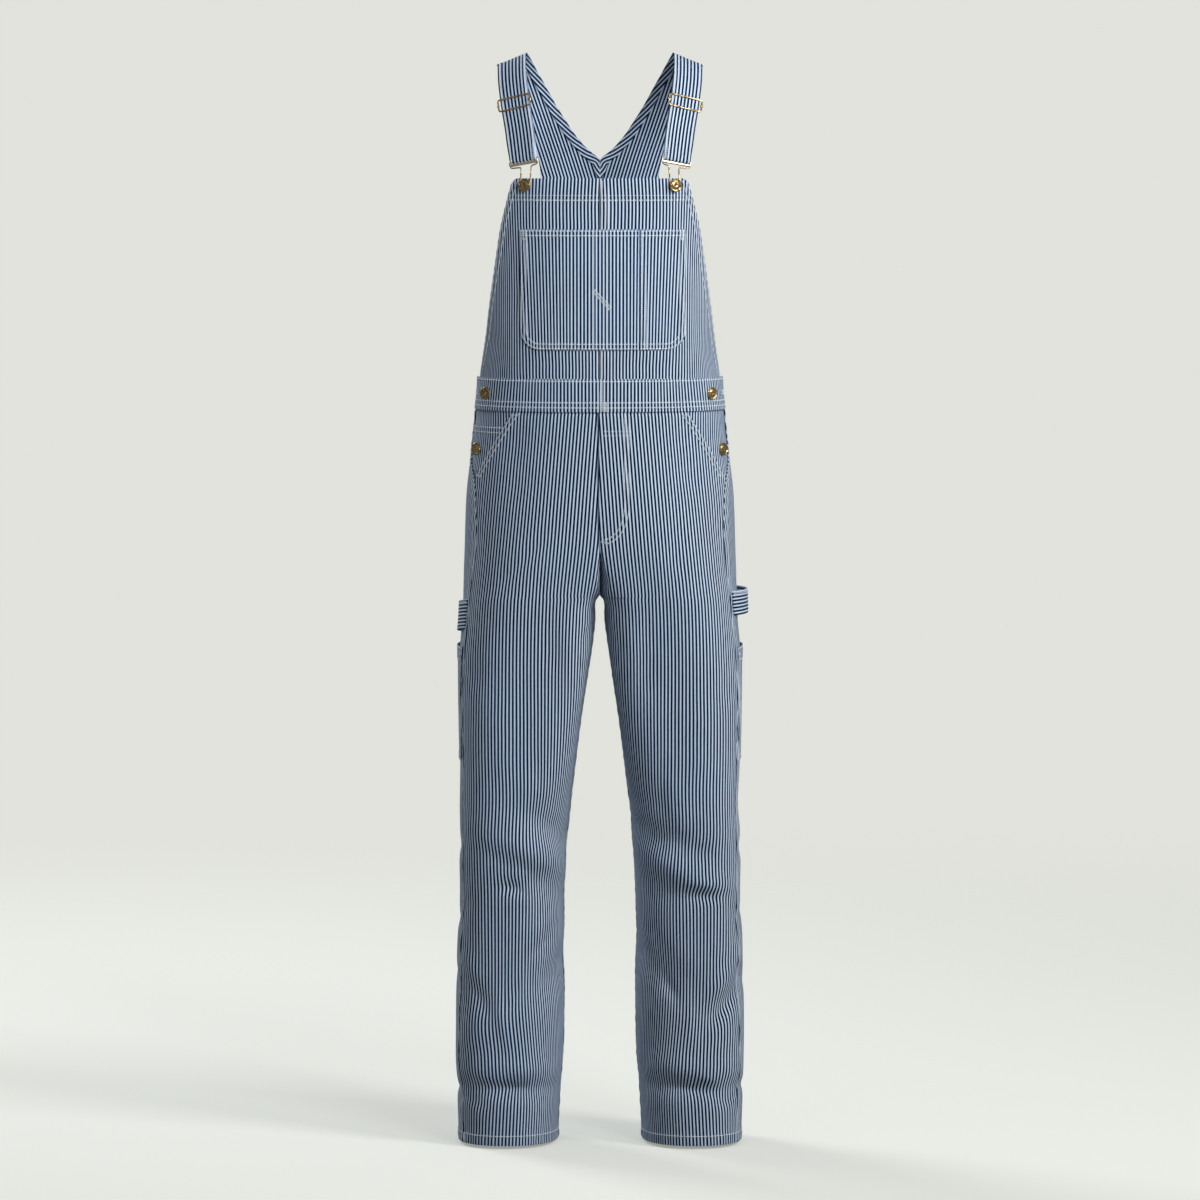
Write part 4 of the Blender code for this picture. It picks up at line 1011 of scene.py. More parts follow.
# %% Front and back panels of both legs
def worn_places(near, depth, amount):
    """Wear: rubbed white close to an edge, and a little on ridges that stand proud."""
    ridges = np.clip(-depth, 0, 3) * 0.11 - np.clip(depth, 0, 4) * 0.03
    return np.clip(amount * bell(near, 2.2) + ridges, 0, 1)


TURNING = 7.0        # how far the front cloth runs up inside the waistband
crotch_rows = np.linspace(CROTCH + 16, CROTCH - 8, 37)
back_heights = np.unique(np.concatenate([rows_between(WAIST - GAP / 2, HEM), crotch_rows]))[::-1]
front_heights = np.concatenate([np.linspace(WAIST + TURNING, WAIST + 1, 4), back_heights])
for side, word in SIDES:
    for part, heights, edges, shape, lean in (
            ("front", front_heights, front_edges(front_heights, side), front_shape, FRONT_LEAN),
            ("back", back_heights, back_edges(back_heights), back_shape, BACK_LEAN)):
        angle, height = columns_between(*edges, heights)
        grid = shape(angle, height, side)
        grain_across = eased(heights, LEG_GRAIN["height"], LEG_GRAIN["across"])
        grain_angle = angle_at(grain_across, heights, behind=part == "back")
        share = (angle - angle[:, :1]) / (angle[:, -1:] - angle[:, :1])
        outwards = share if part == "front" else 1 - share
        depth = creases(angle, height, side) + 0.5 * folds(angle, height, side)
        off_grain = arc(angle, height) - arc(grain_angle, heights)[:, None]
        off_grain = off_grain if part == "front" else -off_grain
        off_grain = off_grain * np.interp(height, [-1330, -1080], [1.08, 1.0])
        u = off_grain - moved(lean, heights, outwards, grain_across) + 0.45 * depth + side * 0.8
        if part == "front":
            bare = skin(angle, height)[..., 0] - skin(0.0 * height, height)[..., 0]
            even = np.interp(height, [-1100, -900, -640, -560], [0, 0.35, 0.35, 0])
            u = u + (bare - arc(angle, height)) * even * (angle < 0)
            inside = np.clip(crotch_reach(height, side) - arc(angle, height) + arc(angle[:, :1], height),
                             0, None)
            u = u - 1.1 * inside * above_inner_leg(height)
        along = arc(angle, height)
        edge = np.minimum(arc(angle[:, -1:], height) - along, along - arc(angle[:, :1], height))
        hem_wear = 0.9 * bell(height - HEM, 2.4) + 0.25 * bell(height - HEM - 14, 2.0)
        wear = np.clip(worn_places(np.abs(edge), depth, 0.45) + hem_wear, 0, 1)
        nodes = [f"{part}_{name}_{word}" for name in ("hip", "knee", "shin")]
        cloth(f"{part}_leg_cloth_{word}", grid, outward(angle, height, side), u, -height, wear, body_twill,
              nodes)


# %% [markdown]
# ## Waistband, bib and pockets
# The bib is cut in two halves, felled on the centre seam and turned over 30 mm at the top. The
# waistband covers the seam between bib and legs. The bib pocket is a patch in one cut, with a row of
# stitches that divides off the pencil part. Each lies a little further out than the last.

# %% Waistband
STRIPE_START = {1: 1.2, -1: -0.4}    # where the stripes begin at the centre seam of each side


def band_lift(angle, height, side):
    """Lift of the waistband: proud of the panels, rolled in at its long edges, doubled at the centre."""
    top, low = BAND_TOP - height, height - WAIST
    lift = RAISED + 0.8 + roll(top + 0.3, 0.5) + roll(low + 0.5, 0.5)
    lift = lift + pucker(top, arc(angle, height) + 5) * 0.6 + pucker(low, arc(angle, height) + 55) * 0.6
    if side > 0:
        lift = lift + rise_near(np.abs(arc(angle, height)), 13.0, 0.35)
    return lift


band_shape = shape_with(band_lift)
for side, word in SIDES:
    heights = rows_between(BAND_TOP, WAIST + GAP / 2, 3.2)
    angle, height = columns_between(angle_at(GAP / 2, heights), side_seam(heights) - trim(heights),
                                    heights, 3.2)
    across = arc(angle, height)
    lean = np.radians(np.interp(across, [0, 50, 76, 112, 140, 200], [0, 0.3, 1.2, 4, 6.5, 8]))
    u = across + 0.1 * np.clip(across - 60, 0, 60) - np.tan(lean) * (BAND_TOP - height) + STRIPE_START[side]
    wear = worn_places(np.minimum(np.abs(BAND_TOP - height), np.abs(height - WAIST)), 0, 0.6)
    cloth(f"waistband_cloth_{word}", band_shape(angle, height, side), outward(angle, height, side),
          u, -height, wear, patch_twill, [f"waistband_{word}"], 2.2)


# %% Bib
BIB_HEM = 30.0       # depth of the turned top
BIB_CORNER = 9.0     # radius of its top corners


def bib_edge(height):
    """Distance of the bib's side edge from the centre."""
    return eased(height, BIB_EDGE["height"], BIB_EDGE["across"])


def bib_lift(angle, height, side):
    """Lift of the bib: turned over at the top and the sides, welted on one side of the centre seam."""
    near = arc(angle, height)
    far = np.abs(arc(angle_at(bib_edge(height), height), height) - near)
    top = BIB_TOP - height
    lift = rise_near(top, BIB_HEM, 0.55) + rise_near(far, 10.0, 0.55)
    lift = lift + (rise_near(near, 12.0, 0.6) if side > 0 else -1.5 * bell(near, 2.6))
    lift = lift + pucker(far, height + 12) * 0.7 + pucker(top - 27, near) * 0.5 + pucker(near, height) * 0.5
    return lift - 0.5 * np.clip((height - BAND_TOP - 8) / -8, 0, 1)


bib_shape = shape_with(bib_lift)
for side, word in SIDES:
    heights = rows_between(BIB_TOP, BAND_TOP - TURNING, 3.4)
    edge = angle_at(bib_edge(np.maximum(heights, BAND_TOP)), heights)
    angle, height = columns_between(angle_at(GAP / 2, heights), edge, heights, 3.4)
    into = np.clip(1 - (BIB_TOP - heights) / BIB_CORNER, 0, 1)
    corner = BIB_CORNER * (1 - np.sqrt(np.clip(1 - into ** 2, 0, 1)))
    share = (angle - angle[:, :1]) / (angle[:, -1:] - angle[:, :1])
    angle = angle - share * (corner * rate(angle[:, -1], heights))[:, None]
    depth = creases(angle, height, side)
    leaning = moved(BIB_LEAN, heights, share, np.zeros(len(heights)), 60.0, 2.0)
    u = arc(angle, height) - leaning + 0.4 * depth + STRIPE_START[side]
    far = np.abs(arc(angle[:, -1:], height) - arc(angle, height))
    wear = worn_places(np.minimum(far, BIB_TOP - height), depth, 0.8)
    cloth(f"bib_cloth_{word}", bib_shape(angle, height, side), outward(angle, height, side), u, -height,
          wear, body_twill, [f"bib_{word}"], 1.1)


# %% Bib pocket and its pencil part
POCKET_LIFT = 1.5    # outer face of the patch over the bib


def corner_inset(height):
    """How far a rounded lower corner draws the edge in: a quarter circle."""
    into = np.clip((POCKET_BOTTOM + POCKET_CORNER - height) / POCKET_CORNER, 0, 1)
    return POCKET_CORNER * (1 - np.sqrt(1 - into ** 2))


def signed_dressed(across, height, lift):
    """A point of the front at a signed distance from the centre, on the form of the left side."""
    angle = angle_at(np.abs(across), height)
    grid = skin(angle, height) + outward(angle, height) * np.asarray(lift)[..., None]
    grid[..., 0] *= np.where(across < 0, -1, 1)
    return grid


def patch_edges(height, right, left):
    """Both side edges of the patch, or of one part of it, with the rounded corners."""
    inset = corner_inset(height)
    return right + inset * (right == POCKET_RIGHT), left - inset * (left == POCKET_LEFT)


def patch_lift(across, height, right, left):
    """Lift of the patch: its turned edges and double-turned top stand higher, and it bellies a little."""
    start, end = patch_edges(height, right, left)
    near = np.minimum(np.minimum(across - start, end - across), height - POCKET_BOTTOM)
    top = POCKET_TOP - height
    belly = 1.1 * np.sin(np.pi * np.clip((across - POCKET_RIGHT) / 228, 0, 1)) * bell(height + 262, 60)
    lift = POCKET_LIFT + rise_near(near, 9.5, 0.5) + rise_near(top, 11.0, 0.7) + belly
    lift = lift - 1.1 * bell(across - left, 2.4) * (left == POCKET_SPLIT)
    return (lift + roll(near + 0.2, 0.6) + pucker(near, across + height, 10) * 0.7
            + pucker(top, across, 14) * 0.5)


def pocket_patch(name, right, left, node):
    """A patch between two edges of the bib, its rows closer together down the rounded corners."""
    turns = np.radians(np.linspace(0, 84, 15))
    low = POCKET_BOTTOM + POCKET_CORNER * (1 - np.sin(turns))
    plain = np.linspace(POCKET_TOP - 3, POCKET_BOTTOM + POCKET_CORNER, 40)
    heights = np.concatenate([[POCKET_TOP, POCKET_TOP - 0.8, POCKET_TOP - 1.8], plain, low[1:]])
    start, end = patch_edges(heights, right, left)
    near = EDGE[:6] * min(1, (left - right) / 40)
    share = np.linspace(0, 1, max(4, round((left - right - 2 * near[-1]) / 3.3)))
    middle = (start + near[-1])[:, None] * (1 - share) + (end - near[-1])[:, None] * share
    across = np.concatenate([start[:, None] + near[:-1], middle, end[:, None] - near[-2::-1]], axis=1)
    height = np.repeat(heights[:, None], across.shape[1], axis=1)
    grid = signed_dressed(across, height, patch_lift(across, height, right, left))
    angle = angle_at(np.abs(across), height)
    out = outward(angle, height)
    out[..., 0] *= np.where(across < 0, -1, 1)
    outer = np.clip((np.abs(across) - 40) / 60, 0, 1)
    u = (arc(angle, height) + 0.045 * outer * (POCKET_TOP - height)) * np.sign(across) + 2.3
    edge = np.minimum(np.minimum(across - start[:, None], end[:, None] - across), POCKET_TOP - height)
    wear = worn_places(np.abs(np.minimum(edge, height - POCKET_BOTTOM)), 0, 0.9)
    cloth(name, grid, out, u, -height, wear, patch_twill, [node], 0.95)


pocket_patch("bib_pocket_cloth", POCKET_RIGHT, POCKET_SPLIT, "bib_pocket")
pocket_patch("pencil_pocket_cloth", POCKET_SPLIT + GAP, POCKET_LEFT, "pencil_pocket")


# %% [markdown]
# ## Hip pockets, tool pockets and hammer loops
# Behind each slanted mouth lies the facing that carries the hip button, and on the wearer's right a
# small coin pocket. Tool pockets are patches behind the outseam, and the hammer loop is a doubled band
# sewn down at both ends, so it is a narrow grid with a swell in the middle of its lift.

# %% Hip facings and coin pocket
FACING_LIFT = -1.7   # of the facings, which lie under the front panels
COIN_LIFT = -0.5
COIN_TOP = -514.5
COIN_FOOT = -578.0


def coin_lift(angle, height, side):
    """Lift of the coin pocket: a doubled top hem that puckers."""
    top = COIN_TOP - height
    return COIN_LIFT + rise_near(top, 10.0, 0.45) + pucker(top, arc(angle, height)) * 0.5


coin_shape = shape_with(coin_lift)
for side, word in SIDES:
    heights = rows_between(WAIST + TURNING - 1, MOUTH_END)
    start, end = pocket_mouth(heights) - FACING_UNDER, side_seam(heights) + FACING_UNDER / 2
    angle, height = columns_between(start, end, heights)
    grid = dressed(angle, height, side, FACING_LIFT)
    u = arc(angle, height) - 0.05 * (height - WAIST) + side
    cloth(f"hip_facing_cloth_{word}", grid, outward(angle, height, side), u, -height, 0.1 + 0 * height,
          patch_twill, [f"hip_facing_{word}"], 0.9)
heights = rows_between(COIN_TOP, COIN_FOOT, 3.2)
angle, height = columns_between(pocket_mouth(heights) - 3.0, side_seam(heights) - 1.2, heights, 3.2)
cloth("coin_pocket_cloth", coin_shape(angle, height, -1), outward(angle, height, -1),
      arc(angle, height) + 1.3, -height,
      worn_places(COIN_TOP - height, 0, 0.9), patch_twill, ["coin_pocket"], 0.8)


# %% Tool pockets
def tool_edges(heights):
    """Both edges of a tool pocket as angles, from just behind the side seam."""
    start = side_seam(heights) + 2.5
    return start, start + TOOL_ARC


def tool_lift(angle, height, side):
    """Lift of a tool pocket: turned edges, a doubled top hem, and a mouth that gapes a little."""
    start, end = tool_edges(height)
    near = np.minimum(arc(angle, height) - arc(start, height), arc(end, height) - arc(angle, height))
    share = np.clip((angle - start) / (end - start), 0, 1)
    top = TOOL_TOP - height
    gape = 2.1 * np.sin(np.pi * share) * np.clip(1 - top / 70, 0, 1) ** 2
    low = np.minimum(near, height - TOOL_BOTTOM)
    lift = 1.35 + rise_near(low, 9.0, 0.5) + rise_near(top, 20.0, 0.7) + gape + roll(low + 0.2, 0.5)
    return lift + pucker(near, height) * 0.8 + pucker(top, arc(angle, height), 18) * 0.5


tool_shape = shape_with(tool_lift)
for side, word in SIDES:
    heights = rows_between(TOOL_TOP, TOOL_BOTTOM, 3.6)
    angle, height = columns_between(*tool_edges(heights), heights, 3.6)
    across = arc(angle, height)
    near = np.minimum(across - arc(angle[:, :1], height), arc(angle[:, -1:], height) - across)
    near = np.minimum(np.minimum(near, TOOL_TOP - height), height - TOOL_BOTTOM)
    wear = worn_places(near, 0, 0.8)
    u = across - 0.03 * (height - TOOL_TOP) + side * 1.7
    cloth(f"tool_pocket_cloth_{word}", tool_shape(angle, height, side), outward(angle, height, side),
          u, -height, wear, patch_twill, [f"tool_pocket_{word}"], 0.95)


# %% Hammer loops
# Height of the middle, half width, bulge and fall of each side's loop: the left one stands open
LOOPS = {1: (-763.0, 17.0, 14.5, 0.0), -1: (-786.0, 21.0, 4.5, 16.0)}


def loop_grid(side, share, edge):
    """A level band off the thigh: its lift is the bulge times a sine of the share, raised to 0.8."""
    middle, half, bulge, drop = LOOPS[side]
    angle = side_seam(np.array(middle)) + 3 + 72 * share
    height = middle - drop * (share - 0.5) + edge * half
    lift = GAP + 1.5 + bulge * np.sin(np.pi * np.clip(share, 1e-4, 1 - 1e-4)) ** 0.8
    return angle, height, lift


for side, word in SIDES:
    half = LOOPS[side][1]
    near = EDGE[:5] / half
    edge_steps = np.concatenate([1 - near, np.linspace(1 - 8 / half, -1 + 8 / half, 6), (-1 + near)[::-1]])
    share, edge = np.meshgrid(np.linspace(0, 1, 44), edge_steps, indexing="xy")
    angle, height, lift = loop_grid(side, share, edge)
    lift = lift + roll((1 - np.abs(edge)) * half, 0.5)
    grid = skin(angle, height) + outward(angle, height) * (lift - folds(angle, height, side))[..., None]
    wear = worn_places((1 - np.abs(edge)) * half, 0, 0.8)
    cloth(f"hammer_loop_cloth_{word}", grid * [side, 1, 1], outward(angle, height, side), edge * half + 1.1,
          arc(angle, height), wear, patch_twill, [f"hammer_loop_{word}"], 1.6)


# %% [markdown]
# ## The high back and its turned neck edge
# The back rises from the waist seam as one wide panel, felled down its middle, and parts at the V into
# two arms that run over the shoulders and become the straps. Its rows slant with the arms, so each is
# a line from the inner edge to the outer one. The V is faced with a band cut on a slant: its stripes
# cross the band at a small angle and meet in chevrons, as the photograph shows from the front.

# %% The high back
LOWER_ROWS = 132


def back_rows():
    """Both edges of the back row by row. Over the shoulder the rows close up like the cosine of a turn."""
    turns = np.radians(np.linspace(31.8, 0, 26))
    left = (1 - np.cos(turns)) / (1 - math.cos(math.radians(33)))
    steps = np.concatenate([[0, 0.02, 0.05], np.linspace(0.1, 14, LOWER_ROWS - 3), 15 - left])
    rows = {name: eased(steps, BACK_EDGES["step"], BACK_EDGES[name]) for name in BACK_EDGES}
    for edge in ("in", "out"):
        across, height = rows[edge + "_across"], rows[edge + "_height"]
        fall = shoulder(across[LOWER_ROWS - 1]) - height[LOWER_ROWS - 1]
        height[LOWER_ROWS:] = shoulder(across[LOWER_ROWS:]) - fall * left
    rows["step"] = steps
    return rows


def back_place(rows, share):
    """Angle and height of points on the rows: by angle low down, by straight distance across the arms."""
    across_in = np.maximum(rows["in_across"], GAP / 2)
    start = angle_at(across_in, rows["in_height"], behind=True)
    end = angle_at(rows["out_across"], rows["out_height"], behind=True)
    end = np.maximum(end, 90 + trim(rows["out_height"]))
    height = rows["in_height"][:, None] * (1 - share) + rows["out_height"][:, None] * share
    even = start[:, None] * (1 - share) + end[:, None] * share
    across = across_in[:, None] * (1 - share) + rows["out_across"][:, None] * share
    straight = angle_at(across, height, behind=True)
    upper = np.clip((rows["step"][:, None] - 2) / 4, 0, 1)
    return even * (1 - upper) + straight * upper, height


def row_width(rows):
    """Length of each row, from its end points and a little more for the bend round the body."""
    flat = np.hypot(rows["out_across"] - rows["in_across"], rows["out_height"] - rows["in_height"])
    return flat * np.interp(rows["step"], [0, 3, 6, 15], [1.22, 1.1, 1.02, 1.0])


def edge_share(rows, count):
    """Columns of the back as shares of each row, close together at both edges."""
    near = EDGE / row_width(rows)[:, None]
    steps = np.linspace(0, 1, count)
    middle = near[:, -1:] * (1 - steps) + (1 - near[:, -1:]) * steps
    return np.concatenate([near[:, :-1], middle, 1 - near[:, -2::-1]], axis=1)


def back_cloth_lift(rows, share, side):
    """Lift of the back: a welt beside the centre seam, turned edges at the V and outside."""
    width = row_width(rows)[:, None]
    near, far = share * width, (1 - share) * width
    arm = np.clip(rows["step"][:, None] - 8, 0, 1)
    lift = rise_near(far, 10.0, 0.5) + rise_near(near, 10.5, 0.6) * ((side > 0) * (1 - arm) + arm * 0.4)
    lift = lift + roll(near) * (1 - arm) + roll(share * 0 + (rows["in_height"] - WAIST)[:, None], 0.6)
    along = rows["step"][:, None] * 40
    return lift + pucker(near, along + 7) * 0.7 + pucker(far, along + 50) * 0.7


def back_normals(angle, height, side):
    """Unit vectors out of the back, taken just under the edge where the skin turns over the shoulder."""
    return outward(angle, np.minimum(height, shoulder(np.abs(skin(angle, height)[..., 0])) - 0.5), side)


def back_lean(height):
    """Tangent of the lean of the back's stripes, added up from the waist: nought below, about 19 degrees
    in the arms."""
    levels = np.linspace(WAIST, 40, 200)
    slope = np.tan(np.radians(np.interp(levels, [-493, -440, -300, -200, -130, 40],
                                        [0, 1, 8, 15, 18.5, 19])))
    return np.interp(height, levels, np.cumsum(slope) * (levels[1] - levels[0]))


rows = back_rows()
for side, word in SIDES:
    share = edge_share(rows, 38)
    angle, height = back_place(rows, share)
    height[0] += GAP / 2
    lift = back_cloth_lift(rows, share, side)
    depth = creases(angle, height, side)
    lift = lift - depth - folds(angle, height, side)
    grid = skin(angle, height) + outward(angle, height) * lift[..., None]
    grid[..., 0] *= side
    grid[-1, :, 1] = GAP / 2
    from_centre = arc(180.0 + 0 * angle, height) - arc(angle, height)
    flat = np.clip((height + 380) / 100, 0, 1)
    u = np.abs(grid[..., 0]) * flat + from_centre * (1 - flat)
    u = u - back_lean(height) + 0.4 * depth + side * 0.6
    width = row_width(rows)[:, None]
    wear = worn_places(np.minimum(share, 1 - share) * width, depth, 0.7)
    cloth(f"back_cloth_{word}", grid, back_normals(angle, height, side), u,
          -height - 0.8 * grid[..., 1], wear, body_twill, [f"back_panel_{word}"], 1.0)


# %% The band along the V
BAND_LIFT = -1.5


def neck_edge():
    """The V from its point to the shoulder as across and height, evenly spaced, with its unit direction."""
    rows = back_rows()
    keep = rows["step"] >= 7.6
    edge = np.stack([rows["in_across"], rows["in_height"]], axis=1)[keep]
    run, unique = np.unique(run_of(edge), return_index=True)
    even = np.linspace(0, run[-1], 110)
    edge = np.stack([np.interp(even, run, edge[unique, k]) for k in range(2)], axis=1)
    return even, edge, unit(np.gradient(edge, axis=0))


def band_place(columns):
    """Angle, height, distance from the edge and way along it for points on the band. A line at some
    distance from the edge is the edge moved square to itself; below the point of the V it runs straight
    on, as far as the centre plane, so the two bands meet there in a mitre."""
    run, edge, along = neck_edge()
    aside = np.stack([along[:, 1], -along[:, 0]], axis=1)
    slope = along[:8].mean(axis=0)
    slope /= np.linalg.norm(slope)
    below = np.array(columns) * slope[1] / slope[0] + edge[0, 0] / slope[0]
    share = np.linspace(0, 1, 120)[:, None] ** 1.05
    way = -below * (1 - share) + run[-1] * share
    inside = np.clip(way, 0, None)
    spot = [np.interp(inside, run, part) for part in (edge[:, 0], edge[:, 1], aside[:, 0], aside[:, 1])]
    under = np.minimum(way, 0)
    blend = np.clip(1 + way / 4, 0, 1)
    beside_x = spot[2] * blend + slope[1] * (1 - blend)
    beside_z = spot[3] * blend - slope[0] * (1 - blend)
    across = np.maximum(spot[0] + beside_x * columns + under * slope[0], GAP / 2)
    height = spot[1] + beside_z * columns + under * slope[1]
    height = np.minimum(height, shoulder(across) - 0.02)
    return angle_at(across, height, behind=True), height, way


for side, word in SIDES:
    columns = BAND_WIDTH * np.array([0.03, 0.08, 0.2, 0.35, 0.5, 0.65, 0.8, 0.92, 1.0])[None, :]
    angle, height, way = band_place(columns)
    out = outward(angle, height)
    across = columns + 0 * way
    lift = BAND_LIFT - 0.2 * rise_near(np.minimum(across, BAND_WIDTH - across), 3.0, 0.6)
    grid = skin(angle, height) + out * (lift - creases(angle, height, side))[..., None]
    grid[..., 0] *= side
    cloth(f"neck_facing_cloth_{word}", grid, out * [side, 1, 1], across - 0.27 * way, way,
          worn_places(across, 0, 0.8), patch_twill, [f"neck_facing_{word}"], 0.8)


# %% [markdown]
# ## Straps
# A strap is a doubled band 43 mm wide. It comes over the shoulder, runs down to the hook, turns round
# the hook's bar and goes back up behind itself to the slider. Webbing like this is best carried along
# its path as a flat rounded profile: a cloth simulation would only crumple it.

# %% Path of a strap
STRAP_TURNS = np.array([0.2, 4, 9, 15, 22, 30, 38, 46, 54, 61, 67, 71])


def on_front(across, height):
    """Point of the front of the chest at a distance from the centre."""
    return skin(angle_at(across, height), height)


def strap_station(height):
    """Middle of a strap's front layer at a height, halfway between its two edges on the chest, with the
    unit vector from edge to edge."""
    across = eased(height, STRAP_LINE["height"], STRAP_LINE["across"])
    slope = eased(height, STRAP_LINE["height"], STRAP_LINE["slope"])
    half = STRAP_WIDTH / 2 / math.hypot(1, slope)
    tops = [shoulder(across + s * half) - 0.001 for s in (-1, 1)]
    edges = [on_front(across + s * half, min(height - s * half * slope, tops[(s + 1) // 2]))
             for s in (-1, 1)]
    width = edges[1] - edges[0]
    return (edges[0] + edges[1]) / 2, width / np.linalg.norm(width)


def strap_path(count=64):
    """Middle line of a strap from the shoulder to the hook. Heights follow the cosine of a turn, and
    the strap stands a little further off the chest the lower it comes."""
    turns = np.linspace(STRAP_TURNS[0], STRAP_TURNS[-1], count)
    drop = (1 - np.cos(np.radians(turns))) / (1 - math.cos(math.radians(STRAP_TURNS[-1])))
    top = shoulder(STRAP_LINE["across"][-1])
    stations = [strap_station(height) for height in top + (STRAP_END - top) * drop]
    middles = np.array([station[0] for station in stations])
    crosses = np.array([station[1] for station in stations])
    along = unit(np.gradient(middles, axis=0))
    out = np.cross(along, crosses)
    place = np.interp(turns, STRAP_TURNS, np.linspace(0, 2.2, len(STRAP_TURNS)))
    middles = middles + out * ((STRAP_LIFT + WALL / 2) * np.clip(place, 0, 1) - WALL / 2)[:, None]
    return middles, crosses, along, out


def frame_at(path, height):
    """Point, cross, down and out vectors of a strap at a height."""
    order = np.argsort(path[0][:, 2])
    heights = path[0][order, 2]
    found = [np.array([np.interp(height, heights, part[order, k]) for k in range(3)]) for part in path]
    return [found[0]] + [vector / np.linalg.norm(vector) for vector in found[1:]]


def strap_run():
    """The whole way of a strap: front layer, half turn round the hook's bar, and back up behind."""
    middles, crosses, along, out = strap_path()
    last, cross, down, square = middles[-1], crosses[-1], along[-1], out[-1]
    centre = last - square * LOOP_RADIUS
    turns = np.radians(np.linspace(10, 180, 15))[:, None]
    bend_out = square * np.cos(turns) + down * np.sin(turns)
    behind = slice(-2, 25, -1)
    up = middles[behind] - out[behind] * (2 * LOOP_RADIUS - 0.9)
    points = np.concatenate([middles, centre + LOOP_RADIUS * bend_out, up])
    normals = np.concatenate([out, bend_out, -out[behind]])
    widths = np.concatenate([crosses, np.repeat(cross[None], len(turns), axis=0), crosses[behind]])
    pinch = LOOP_PINCH * np.clip((STRAP_END + 25 - points[:, 2]) / 20, 0, 1)
    return points, normals, widths, STRAP_WIDTH - pinch


def tube_object(name, rings, closed, finish, node, u=None, v=None, wear=None):
    """One smooth piece carried through rings of points. An open run gets a flat face at either end."""
    count = rings.shape[1]
    last = len(rings) if closed else len(rings) - 1
    i, j = np.meshgrid(np.arange(last), np.arange(count), indexing="ij")
    k, m = (i + 1) % len(rings), (j + 1) % count
    faces = np.stack([i * count + j, i * count + m, k * count + m, k * count + j], axis=-1)
    faces = faces.reshape(-1, 4).tolist()
    if not closed:
        first = np.arange(count)
        faces += [first[::-1].tolist(), (first + (len(rings) - 1) * count).tolist()]
    mesh = smooth_mesh(name, rings, faces)
    if u is not None:
        woven(mesh, u, v, wear, np.concatenate(faces))
    built = bmesh.new()
    built.from_mesh(mesh)
    bmesh.ops.recalc_face_normals(built, faces=built.faces)
    built.to_mesh(mesh)
    built.free()
    return piece_of(name, mesh, finish, [node])


# %% Straps as flat rounded bands
def strap_profile():
    """Shares of half the width and of half the thickness round a flat band with round edges."""
    flat = np.array([-0.9, -0.7, -0.45, -0.2, 0, 0.2, 0.45, 0.7, 0.9])
    right = np.array([[0.965, 0.8], [0.992, 0.42], [1.0, 0.0], [0.992, -0.42], [0.965, -0.8]])
    top = np.stack([flat, np.ones(9)], axis=1)
    return np.concatenate([top, right, top[::-1] * [1, -1], right[::-1] * [-1, 1]])


for side, word in SIDES:
    points, normals, widths, wide = strap_run()
    profile = strap_profile()
    length = run_of(points)
    rings = (points[:, None] + widths[:, None] * profile[None, :, :1] * (wide / 2)[:, None, None]
             + normals[:, None] * profile[None, :, 1:] * STRAP_THICK / 2)
    crossing = np.abs(profile[:, 0])[None, :] * (wide / 2)[:, None]
    swell = 0.22 * bell(crossing - 18.6, 1.5) - 0.12 * bell(crossing - 16.5, 1.2)
    rings = rings + normals[:, None] * (profile[None, :, 1] * swell)[..., None]
    rings[0, :, 1] = -GAP / 2
    rings[..., 0] *= side
    u = profile[None, :, 0] * (wide / 2)[:, None] * 0.93 + 1.2
    made = tube_object(f"strap_cloth_{word}", rings, False, body_twill, f"strap_{word}",
                       u, length[:, None] + 0 * u, 0.7 * bell(21.5 - crossing, 1.2))
    print(made.name, "runs", round(float(length[-1])), "mm")


# %% [markdown]
# ## Brass fittings
# Slider and hook are bent wire, so each is a path given across and down the strap, carried round with
# a small round or flattened section. Corner cutting, a few times over, turns the straight pieces of a
# path into bends as a bending tool leaves them. Buttons are turned on a lathe: a profile of radius and
# height swept round.

# %% Wire helpers
WIRE_SIDES = 12


def wire_rings(path, across_radius, out_radius, frame, closed, side):
    """Rings of a wire that follows a flat path, given across and down, in a strap's frame. Each ring
    stands square to the path, so it is the path's normal times a cosine plus the out vector times a sine."""
    point, cross, down, out = frame
    if closed:
        along = np.roll(path, -1, axis=0) - np.roll(path, 1, axis=0)
    else:
        along = np.gradient(path, axis=0)
    along = unit(along)
    beside = np.stack([-along[:, 1], along[:, 0]], axis=1)
    turn = np.linspace(0, 2 * math.pi, WIRE_SIDES, endpoint=False)
    across_radius, out_radius = [np.broadcast_to(radius, len(path))
                                 for radius in (across_radius, out_radius)]
    aside = np.cos(turn)[None, :, None] * across_radius[:, None, None] * beside[:, None]
    offset = path[:, None] + aside
    depth = np.sin(turn)[None, :] * out_radius[:, None]
    rings = point + offset[..., :1] * cross + offset[..., 1:] * down + depth[..., None] * out
    return rings * [side, 1, 1]


def rounded_box(half_width, half_height, corner, steps):
    """Closed path round a box with round corners, starting at the middle of its left end."""
    turn = np.radians(np.linspace(0, 90, steps + 1))
    path = [np.array([[-half_width, 0.0]])]
    for sx, sy, begin in ((-1, -1, 180), (1, -1, 270), (1, 1, 0), (-1, 1, 90)):
        angle = turn + math.radians(begin)
        x = sx * (half_width - corner) + corner * np.cos(angle)
        y = sy * (half_height - corner) + corner * np.sin(angle)
        path.append(np.stack([x, y], axis=1))
        if sx > 0 and sy < 0:
            path.append(np.array([[half_width, 0.0]]))
    return np.concatenate(path)


